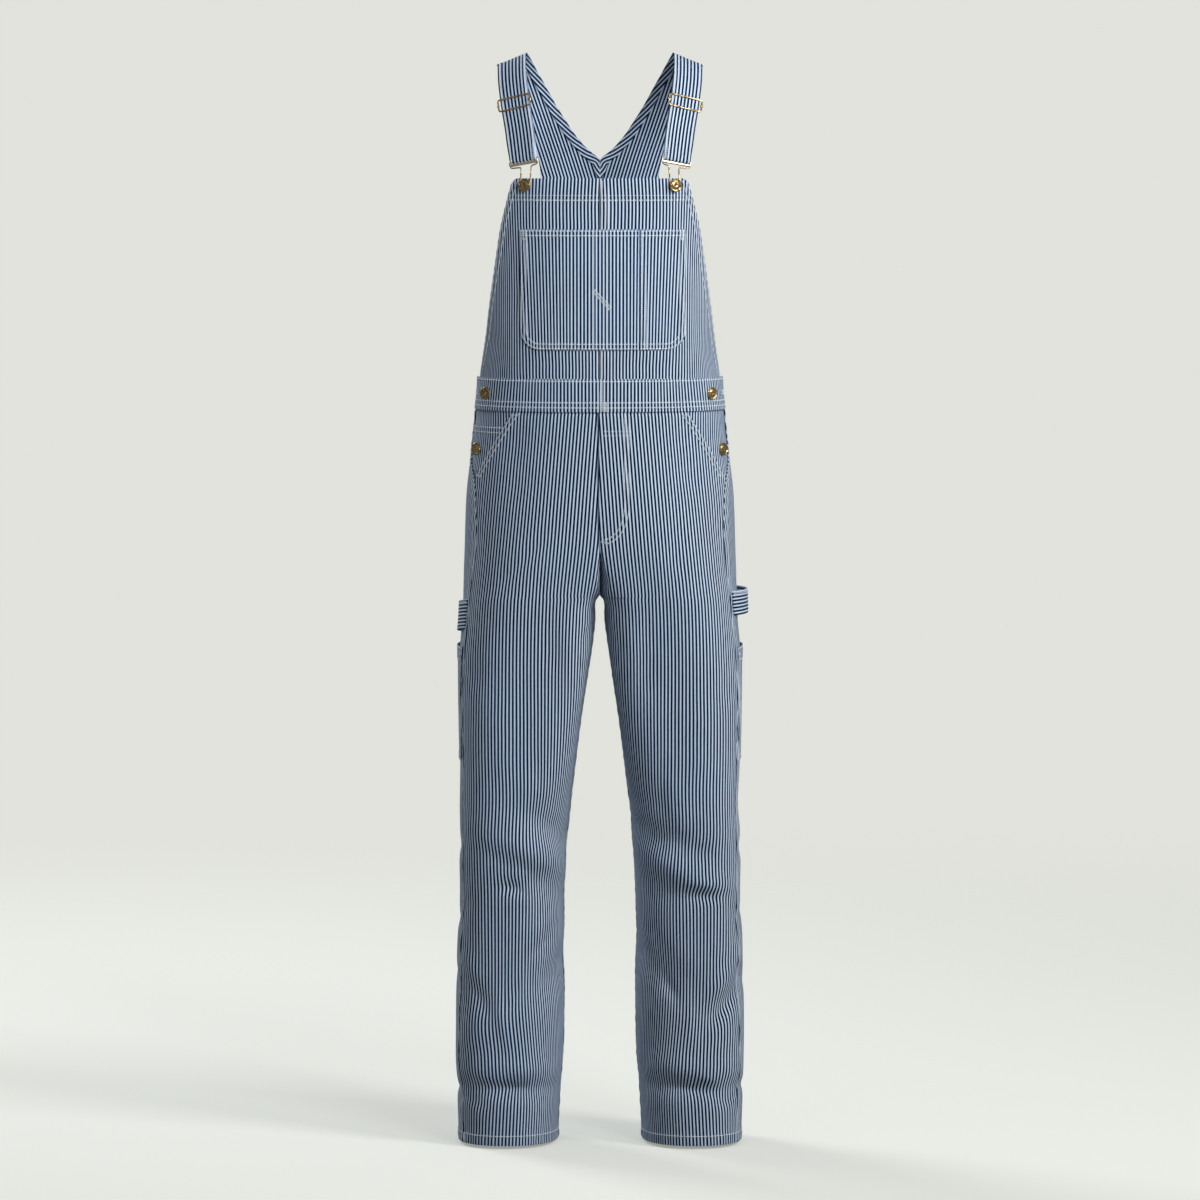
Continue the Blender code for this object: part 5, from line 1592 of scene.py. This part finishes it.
def even_path(path, step, closed):
    """Points a fixed step apart along a path of straight pieces."""
    path = np.array(path, float)
    if closed:
        path = np.concatenate([path, path[:1]])
    run = run_of(path)
    count = max(4, round(run[-1] / step))
    spots = np.linspace(0, run[-1], count + 1)[:-1 if closed else None]
    return np.stack([np.interp(spots, run, path[:, k]) for k in range(2)], axis=1)


def cut_corners(path, times):
    """Replace each corner by the points a quarter of the way to its neighbours, a few times over."""
    path = np.array(path, float)
    for _ in range(times):
        near = path[:-1] * 0.75 + path[1:] * 0.25
        far = path[:-1] * 0.25 + path[1:] * 0.75
        inner = np.stack([near, far], axis=1).reshape(-1, 2)
        path = np.concatenate([path[:1], inner[1:-1], path[-1:]])
    return path


# %% Sliders
SLIDER_HEIGHT = -66.5
SLIDER_BOX = (24.4, 8.8, 3.0)    # half width, half height and corner radius of its wire

for side, word in SIDES:
    point, cross, down, out = frame_at(strap_path(), SLIDER_HEIGHT)
    point = point + out * (STRAP_THICK / 2 + GAP + WIRE + 0.1)
    box = even_path(rounded_box(*SLIDER_BOX, 10), 0.8, True)
    knob = WIRE + 0.95 * bell(box[:, 1], 1.5)
    rings = wire_rings(box, knob + 0.3, knob, (point, cross, down, out), True, side)
    tube_object(f"slider_brass_{word}", rings, True, brown_brass, f"slider_{word}")


# %% Hooks
def button_spot():
    """Centre of a bib button on the cloth, with the vector square to it."""
    across, height = BUTTON_CENTRE
    return on_front(across, height), outward(angle_at(across, height), height)


def hook_frame():
    """Centre of the strap's loop, with cross, down and out vectors that aim at the button, and the offset
    of the button across and down."""
    middles, crosses, along, out = strap_path()
    centre = middles[-1] - out[-1] * LOOP_RADIUS
    spot, square = button_spot()
    target = spot + square * HOOK_LIFT
    cross = crosses[-1]
    down = target - centre
    down -= cross * np.dot(down, cross)
    reach = np.linalg.norm(down)
    down /= reach
    return (centre, cross, down, np.cross(down, cross)), np.array([np.dot(target - centre, cross), reach])


def hook_paths():
    """The closed bar and the open wire of a hook, across and down: a slot for the strap, two shoulders, a
    narrow neck and a round bend under the button."""
    frame, goal = hook_frame()
    cross, down = frame[1], frame[2]
    slot = LOOP_RADIUS + STRAP_THICK / 2 + GAP + BAR_HALF
    half = (STRAP_WIDTH - LOOP_PINCH) / 2 + GAP + WIRE
    bar = np.array(rounded_box(half, slot / 2, 1.6, 6)) + [0, slot / 2]
    drop = slot + SHOULDER_DROP
    up = np.array([cross[2], down[2]]) / math.hypot(cross[2], down[2])
    beside = np.array([-up[1], up[0]])
    halves = []
    for hand in (-1, 1):
        start = goal + beside * hand * NECK
        top = start + up * (start[1] - drop - 1.8) / -up[1]
        ends = [(hand * (half - 0.9), slot + 0.8), (hand * (half - 1.3), slot + 2.9),
                (hand * (half - 4), drop - 0.4)]
        halves.append(ends + [(top[0] + hand * 1.8, drop), tuple(top), tuple(start + up * 2)])
    bend = [tuple(goal - beside * NECK * math.cos(t) - up * NECK * 0.8 * math.sin(t))
            for t in np.radians([20, 55, 90, 125, 160])]
    return frame, bar, halves[0] + bend + halves[1][::-1], slot


for side, word in SIDES:
    frame, bar, run, slot = hook_paths()
    bar = even_path(bar, 0.7, True)
    front = np.clip((bar[:, 1] - slot + 0.8) / 0.6, 0, 1)
    wide = WIRE + (BAR_HALF - WIRE) * front
    rings = wire_rings(bar, wide, WIRE, frame, True, side)
    # The bar's brass carries a painted highlight.
    tube_object(f"hook_bar_{word}", rings, True, bar_brass_painted_highlight, f"hook_{word}")
    rings = wire_rings(even_path(cut_corners(run, 3), 0.7, False), WIRE, WIRE, frame, False, side)
    # The wire's brass carries painted shade.
    tube_object(f"hook_wire_{word}", rings, False, wire_brass_painted_shade, f"hook_{word}")


# %% Buttons
WAIST_BUTTON = {1: 153.0, -1: 157.0}    # distance of each side's waist button from the centre
HIP_BUTTON = (171.0, -547.5)            # of a hip button: distance from the centre, and height


def lathe(spot, square, profile, side):
    """Rings of a turned piece: each pair of the profile is a radius and a height along the axis."""
    across = np.cross([0.0, 0.0, 1.0], square)
    across /= np.linalg.norm(across)
    up = np.cross(square, across)
    turn = np.linspace(0, 2 * math.pi, 40, endpoint=False)[:, None]
    circle = np.cos(turn) * across + np.sin(turn) * up
    return np.array([spot + square * height + radius * circle for radius, height in profile]) * [side, 1, 1]


def button_profile(radius, low, stand):
    """Radius and height of a tack button from the foot of its shank, round its rolled rim, to the middle."""
    turn = np.radians(np.linspace(-90, 90, 9))
    rim = np.stack([radius - 1.0 + 1.0 * np.cos(turn), stand + 1.05 + 1.05 * np.sin(turn)], axis=1)
    foot = [(0.4, low), (2.7, low), (2.9, low + 0.3), (2.4, low + 0.7), (2.4, stand - 0.1), (2.7, stand)]
    face = [(radius - 1.8, stand + 1.75), (radius - 2.5, stand + 1.35), (radius - 3.1, stand + 1.4),
            (radius - 3.8, stand + 1.8), (radius * 0.42, stand + 2.25), (radius * 0.25, stand + 2.3),
            (radius * 0.16, stand + 2.05), (0.3, stand + 2.0)]
    return foot + [tuple(point) for point in rim] + face


for side, word in SIDES:
    spot, square = button_spot()
    rings = lathe(spot, square, button_profile(BUTTON, GAP, HOOK_LIFT + WIRE + 1.0), side)
    tube_object(f"bib_button_brass_{word}", rings, False, cast_brass, f"bib_button_{word}")
    hip_lift = (FACING_LIFT if side > 0 else COIN_LIFT) + GAP
    for name, across, height, lift in (
            ("waist", WAIST_BUTTON[side], BUTTONHOLE, RAISED + 0.35),
            ("hip", *HIP_BUTTON, hip_lift)):
        angle = angle_at(across, height)
        square = outward(angle, height)
        spot = skin(angle, height) + square * lift
        square = square * 0.74 + np.array([0.0, -0.36, 0.0])
        square /= np.linalg.norm(square)
        rings = lathe(spot, square, button_profile(BUTTON - 0.4, -1.2, 2.4), side)
        tube_object(f"{name}_button_brass_{word}", rings, False, cast_brass, f"{name}_button_{word}")

# %% [markdown]
# ## Sewing
# Workwear is held by rows of thick undyed thread: two rows on each felled seam and pocket edge, one on
# hems, and dense bars where a pocket corner or the fly takes strain. Each stitch is a small lens of
# thread that dips into the cloth at both ends. A row is a line on the cloth's own surface, given in the
# same angles and heights as its panel; stitches are set along it by length.

# %% Rows of stitches
STITCH = 3.1         # from one stitch to the next
STITCH_SHARE = 0.8   # of that length which the stitch takes
THREAD = 1.35        # width of the thread
FAINT = 0.55         # width of a row that lies on a pale stripe and hardly shows


def thread_rings(points, normals, width=THREAD):
    """Rings of four points for each stitch of a row: its ends lie under the surface, its middle above it."""
    length = np.linalg.norm(np.diff(points, axis=0), axis=1).sum()
    count = max(1, int(length / STITCH))
    middle = (np.arange(count) + 0.5) * length / count
    uneven = 1 + 0.06 * np.sin(np.arange(count) * 2.4)
    shift = np.array([-0.5, -0.28, 0.28, 0.5]) * STITCH * STITCH_SHARE
    spots = middle[:, None] + shift[None, :] * uneven[:, None]
    run = run_of(points)
    place, square = [np.stack([np.interp(spots, run, part[:, k]) for k in range(3)], axis=-1)
                     for part in (points, normals)]
    square = unit(square)
    aside = np.cross(unit(np.gradient(place, axis=1)), square)
    lift = np.array([-0.22, 0.16, 0.16, -0.22])[None, :, None] * square
    half = (np.array([0.5, 1.0, 1.0, 0.5]) * width / 2)[None, :, None]
    centre = place + lift
    ring = [centre - aside * half, centre + square * 0.30, centre + aside * half, centre - square * 0.22]
    return np.stack(ring, axis=2)


def bar_rings(start, end, normal, width=2.4):
    """A bartack: stitches packed side by side square to a line between two points."""
    way = end - start
    length = np.linalg.norm(way)
    aside = np.cross(way / length, normal)
    spots = np.linspace(0, 1, max(3, int(length / 1.25)))[:, None, None]
    shift = np.array([-0.5, -0.3, 0.3, 0.5])[None, :, None] * width
    lift = np.array([-0.1, 0.25, 0.25, -0.1])[None, :, None] * normal
    centre = start + way * spots + aside * shift + lift
    half = 0.38 * way / length
    return np.stack([centre - half, centre + normal * 0.32, centre + half, centre - normal * 0.2], axis=2)


def sew(cloth_name, rings):
    """All stitches of a cloth as one piece: sides of four-point rings with a face at both ends."""
    rings = np.concatenate(rings)
    index = np.arange(len(rings) * 16).reshape(-1, 4, 4)
    after = np.roll(index, -1, axis=2)
    sides = np.stack([index[:, :-1], after[:, :-1], after[:, 1:], index[:, 1:]], axis=-1)
    faces = np.concatenate([sides.reshape(-1, 4), index[:, 0, ::-1], index[:, -1]])
    middle = rings[0].mean(axis=1)
    first = rings[0, 1] - middle[1]
    if np.dot(np.cross(first[0], first[1]), middle[2] - middle[1]) > 0:
        faces = faces[:, ::-1]
    name = cloth_name.replace("cloth", "stitches")
    piece_of(name, smooth_mesh(name, rings, faces.tolist()), cotton_thread)
    print(name, len(rings), "stitches")


def panel_row(shape, angle, height, side, lift=0.05):
    """Points and normals of a line on a panel whose shape is a function of angle, height and side."""
    angle, height = both(angle, height)
    normals = outward(angle, height, side)
    return shape(angle, height, side) + normals * lift, normals


def seam(shape, angle, height, side, width=THREAD):
    """A row of stitches along a line on a panel."""
    return thread_rings(*panel_row(shape, angle, height, side), width)


def tack(shape, angles, heights, side, width=2.4):
    """A bartack between two points of a panel."""
    points, normals = panel_row(shape, angles, heights, side, 0.3)
    return bar_rings(points[0], points[1], normals[0], width)


def inside(edge, height, distance):
    """Angles of a line that keeps a distance from an edge."""
    return edge + rate(edge, height) * distance


# %% Bib and waistband seams
CENTRE_ROWS = (3.0, 11.0)    # distances of the two rows beside the centre seam in front

for side, word in SIDES:
    rows = []
    for height, width in ((BIB_TOP - BIB_HEM, THREAD), (BIB_TOP - BIB_HEM + 6.5, 0.5)):
        end = angle_at(bib_edge(height), height)
        rows.append(seam(bib_shape, np.linspace(0.3, end - 0.4, 90), height, side, width))
    down = np.linspace(BIB_TOP - 3, BAND_TOP + 1, 160)
    edge = angle_at(bib_edge(down), down)
    for distance in (-2.2, -8.8):
        rows.append(seam(bib_shape, inside(edge, down, distance), down, side))
    if side > 0:
        for across in CENTRE_ROWS:
            rows.append(seam(bib_shape, angle_at(across, down), down, side))
    sew(f"bib_cloth_{word}", rows)

    rows = []
    for height in (BAND_TOP - 3.0, WAIST + 13.5, WAIST + 6.5):
        rows.append(seam(band_shape, np.linspace(0.2, side_seam(height) - 0.5, 120), height, side))
    if side > 0:
        down = np.linspace(BAND_TOP - 1, WAIST + 2, 24)
        for across in CENTRE_ROWS:
            rows.append(seam(band_shape, angle_at(across, down), down, side))
        low_high = np.array([WAIST + 1.5, WAIST + 14.0])
        rows.append(tack(band_shape, angle_at(6.5, low_high), low_high, side, 6.0))
    hole_end = min(angle_at(186.0, BUTTONHOLE), side_seam(BUTTONHOLE) - 1.5)
    slit = np.linspace(angle_at(168.0, BUTTONHOLE), hole_end, 14)
    for rise in (-1.9, 1.9):
        points, normals = panel_row(band_shape, slit, BUTTONHOLE + rise, side, 0.1)
        for first, last in ((0, 4), (4, 8), (8, 13)):
            rows.append(bar_rings(points[first], points[last], normals[first + 2], 1.8))
    sew(f"waistband_cloth_{word}", rows)


# %% Bib pocket seams
def patch_row(across, height, right, left, lift=0.05):
    """Points and normals of a line on the bib pocket, given as signed distances from the centre."""
    across, height = both(across, height)
    normals = outward(angle_at(np.abs(across), height), height)
    normals[..., 0] *= np.where(across < 0, -1, 1)
    return signed_dressed(across, height, patch_lift(across, height, right, left)) + normals * lift, normals


def corner_path(edge, way, inner, distance):
    """A line inside a pocket's side and round its lower corner, then along the bottom to the inner end."""
    radius = POCKET_CORNER - distance
    turn = np.radians(np.linspace(0, 90, 16))
    down = np.linspace(POCKET_TOP - 1, POCKET_BOTTOM + POCKET_CORNER, 50)
    bend = np.stack([edge + way * (POCKET_CORNER - radius * np.cos(turn)),
                     POCKET_BOTTOM + POCKET_CORNER - radius * np.sin(turn)], axis=1)
    flat = np.linspace(edge + way * POCKET_CORNER, inner, 60)[1:]
    side_run = np.stack([np.full(50, edge + way * distance), down], axis=1)
    base = np.stack([flat, np.full(59, POCKET_BOTTOM + distance)], axis=1)
    return np.concatenate([side_run[:-1], bend, base])


def slanted_hole(right, left):
    """The buttonhole in the middle of the bib pocket: two long bars and a short one at either end."""
    (start, end), normals = patch_row([-8.3, 13.9], [-325.0, -349.0], right, left, 0.2)
    aside = np.cross(end - start, normals[0])
    aside *= 1.7 / np.linalg.norm(aside)
    bars = [bar_rings(start + aside * shift, end + aside * shift, normals[0]) for shift in (-1, 1)]
    return bars + [bar_rings(spot - aside * 1.6, spot + aside * 1.6, normals[0], 1.6)
                   for spot in (start, end)]


# For each part of the pocket: its name, both edges, the outer edge again and the way inwards from it,
# where its curved rows end, its upright rows and the width of their thread
for name, right, left, outer, way, inner, uprights, width in (
        ("bib_pocket_cloth", POCKET_RIGHT, POCKET_SPLIT, POCKET_RIGHT, 1, POCKET_SPLIT - 0.5,
         (-57.5, -8.0, 8.5), FAINT),
        ("pencil_pocket_cloth", POCKET_SPLIT + GAP, POCKET_LEFT, POCKET_LEFT, -1, POCKET_SPLIT + 0.8,
         (56.6, 63.4), THREAD)):
    rows = []
    for distance, below in ((2.2, 1.9), (8.6, 8.2)):
        path = corner_path(outer, way, inner, distance)
        rows.append(thread_rings(*patch_row(path[:, 0], path[:, 1], right, left)))
        rows.append(thread_rings(*patch_row(np.linspace(right + 1, left - 1, 70), POCKET_TOP - below,
                                            right, left)))
    down = np.linspace(POCKET_TOP - 2, POCKET_BOTTOM + 1, 60)
    rows += [thread_rings(*patch_row(across, down, right, left), width) for across in uprights]
    ends, normals = patch_row(outer + way * 5.4, [POCKET_TOP - 2, POCKET_TOP - 14], right, left, 0.3)
    rows.append(bar_rings(*ends, normals[0], 5.0))
    if outer == POCKET_RIGHT:
        rows += slanted_hole(right, left)
    sew(name, rows)


# %% Leg seams
FLY_BEND = -622.0                   # height where the rows of the fly begin to turn inwards
HEM_ROW = np.array([HEM + 13.5])    # height of the row that holds a leg's hem
CENTRE_ROWS_BELOW = (-2.0, -8.6)    # distances of the two rows of the centre seam behind

for side, word in SIDES:
    rows = []
    mouth = np.linspace(WAIST - 2, MOUTH_END + 6, 44)
    for distance in (-2.0, -9.4):
        rows.append(seam(front_shape, inside(front_edges(mouth, side)[1], mouth, distance), mouth, side))
    for height in (WAIST - 5.0, MOUTH_END + 9.0):
        edge = front_edges(np.array([height]), side)[1]
        rows.append(tack(front_shape, inside(edge, height, np.array([-0.8, -10.5])), height, side, 1.7))
    start, end = front_edges(HEM_ROW, side)
    rows.append(seam(front_shape, np.linspace(start[0] + 0.4, end[0] - 0.4, 110), HEM_ROW, side))
    if side > 0:
        turn = np.radians(np.linspace(0, 82, 20))
        for across in (40.0, 34.0):
            down = np.linspace(WAIST - 1, FLY_BEND, 50)
            bend = np.stack([across * np.cos(turn) ** 0.9, FLY_BEND - (across + 14) * np.sin(turn)], axis=1)
            path = np.concatenate([np.stack([np.full(50, across), down], axis=1), bend[1:]])
            path[:, 0] = np.maximum(path[:, 0], 3.0)
            rows.append(seam(front_shape, angle_at(path[:, 0], path[:, 1]), path[:, 1], side))
        for level in (-525.0, -519.0):
            rows.append(seam(front_shape, angle_at(np.linspace(4.5, 44, 16), level), level, side, 0.6))
        foot = np.array([-672.0, -674.0])
        rows.append(tack(front_shape, angle_at(np.array([1.5, 11.0]), foot), foot, side))
    sew(f"front_leg_cloth_{word}", rows)

    # Each seam of the back panel: heights, edge 0 outside or 1 inside, and the distances of its two rows
    rows = []
    felled = [(np.linspace(WAIST - 2, HEM + 2, 420), 0, (1.7, 8.2)),
              (np.linspace(CROTCH - 6, HEM + 2, 300), 1, (-1.7, -8.2))]
    if side > 0:
        felled.append((np.linspace(WAIST - 2, CROTCH + 12, 110), 1, CENTRE_ROWS_BELOW))
    for heights, edge, distances in felled:
        for distance in distances:
            line = inside(back_edges(heights)[edge], heights, distance)
            rows.append(seam(back_shape, line, heights, side))
    start, end = back_edges(HEM_ROW)
    rows.append(seam(back_shape, np.linspace(start[0] + 0.4, end[0] - 0.4, 130), HEM_ROW, side))
    sew(f"back_leg_cloth_{word}", rows)


# %% Pockets and loops on the legs
for side, word in SIDES:
    rows = []
    down = np.linspace(TOOL_TOP - 2, TOOL_BOTTOM + 2, 60)
    start, end = tool_edges(down)
    for distance, below in ((2.2, 2.2), (8.4, 18.0)):
        rows.append(seam(tool_shape, inside(start, down, distance), down, side))
        rows.append(seam(tool_shape, inside(end, down, -distance), down, side))
        for height in (TOOL_BOTTOM + distance, TOOL_TOP - below):
            first, final = tool_edges(np.array(height))
            rows.append(seam(tool_shape, np.linspace(first + 0.8, final - 0.8, 70), height, side))
    height = TOOL_TOP - 10.0
    for corner, way in zip(tool_edges(np.array([height])), (1, -1)):
        rows.append(tack(tool_shape, inside(corner, height, way * np.array([1.0, 9.5])), height, side))
    sew(f"tool_pocket_cloth_{word}", rows)

    rows = []
    half = LOOPS[side][1]
    for edge in (-1 + 3.2 / half, 1 - 3.2 / half):
        angle, height, lift = loop_grid(side, np.linspace(0.01, 0.99, 60), edge)
        normals = outward(angle, height)
        points = skin(angle, height) + normals * (lift - folds(angle, height, side) + 0.05)[..., None]
        rows.append(thread_rings(points * [side, 1, 1], normals * [side, 1, 1]))
    sew(f"hammer_loop_cloth_{word}", rows)

sew("coin_pocket_cloth", [
    seam(coin_shape, np.linspace(pocket_mouth(height) + 1.0, side_seam(height) - 1.6, 24), height, -1)
    for height in (COIN_TOP - 1.8, COIN_TOP - 8.6)])


# %% Back and strap seams
def back_seam(distance, side, low=-1.0, high=99.0, outer=False):
    """A row of stitches on the high back that keeps a distance from its inner or outer edge, between two
    steps of its table."""
    rows = back_rows()
    chosen = (rows["step"] > low) & (rows["step"] < high)
    rows = {name: column[chosen] for name, column in rows.items()}
    share = (distance / row_width(rows))[:, None]
    share = 1 - share if outer else share
    angle, height = back_place(rows, share)
    lift = back_cloth_lift(rows, share, side) - creases(angle, height, side) - folds(angle, height, side)
    normals = outward(angle, np.minimum(height, shoulder(rows["in_across"])[:, None] - 0.5))
    points = skin(angle, height) + outward(angle, height) * lift[..., None] + normals * 0.05
    return thread_rings(points[:, 0] * [side, 1, 1], normals[:, 0] * [side, 1, 1])


for side, word in SIDES:
    rows = [back_seam(distance, side, outer=True) for distance in (2.2, 8.6)]
    rows += [back_seam(distance, side, low=7.7) for distance in (2.0, 10.0)]
    if side > 0:
        rows += [back_seam(distance, side, high=7.6) for distance in (2.0, 8.6)]
    angle = np.linspace(back_place(back_rows(), np.array([[1.0]]))[0][0, 0] + 0.5, 179.4, 160)
    for up in (1.5, 8.0):
        height = WAIST + up
        rows.append(thread_rings(dressed(angle, height, side, 0.55), outward(angle, height, side)))
    sew(f"back_cloth_{word}", rows)

    points, normals, widths, wide = strap_run()
    rows = []
    for hand in (-1, 1):
        line = points + widths * hand * (wide / 2 - 3.0)[:, None] + normals * (STRAP_THICK / 2 + 0.02)
        rows.append(thread_rings(line * [side, 1, 1], normals * [side, 1, 1]))
    sew(f"strap_cloth_{word}", rows)
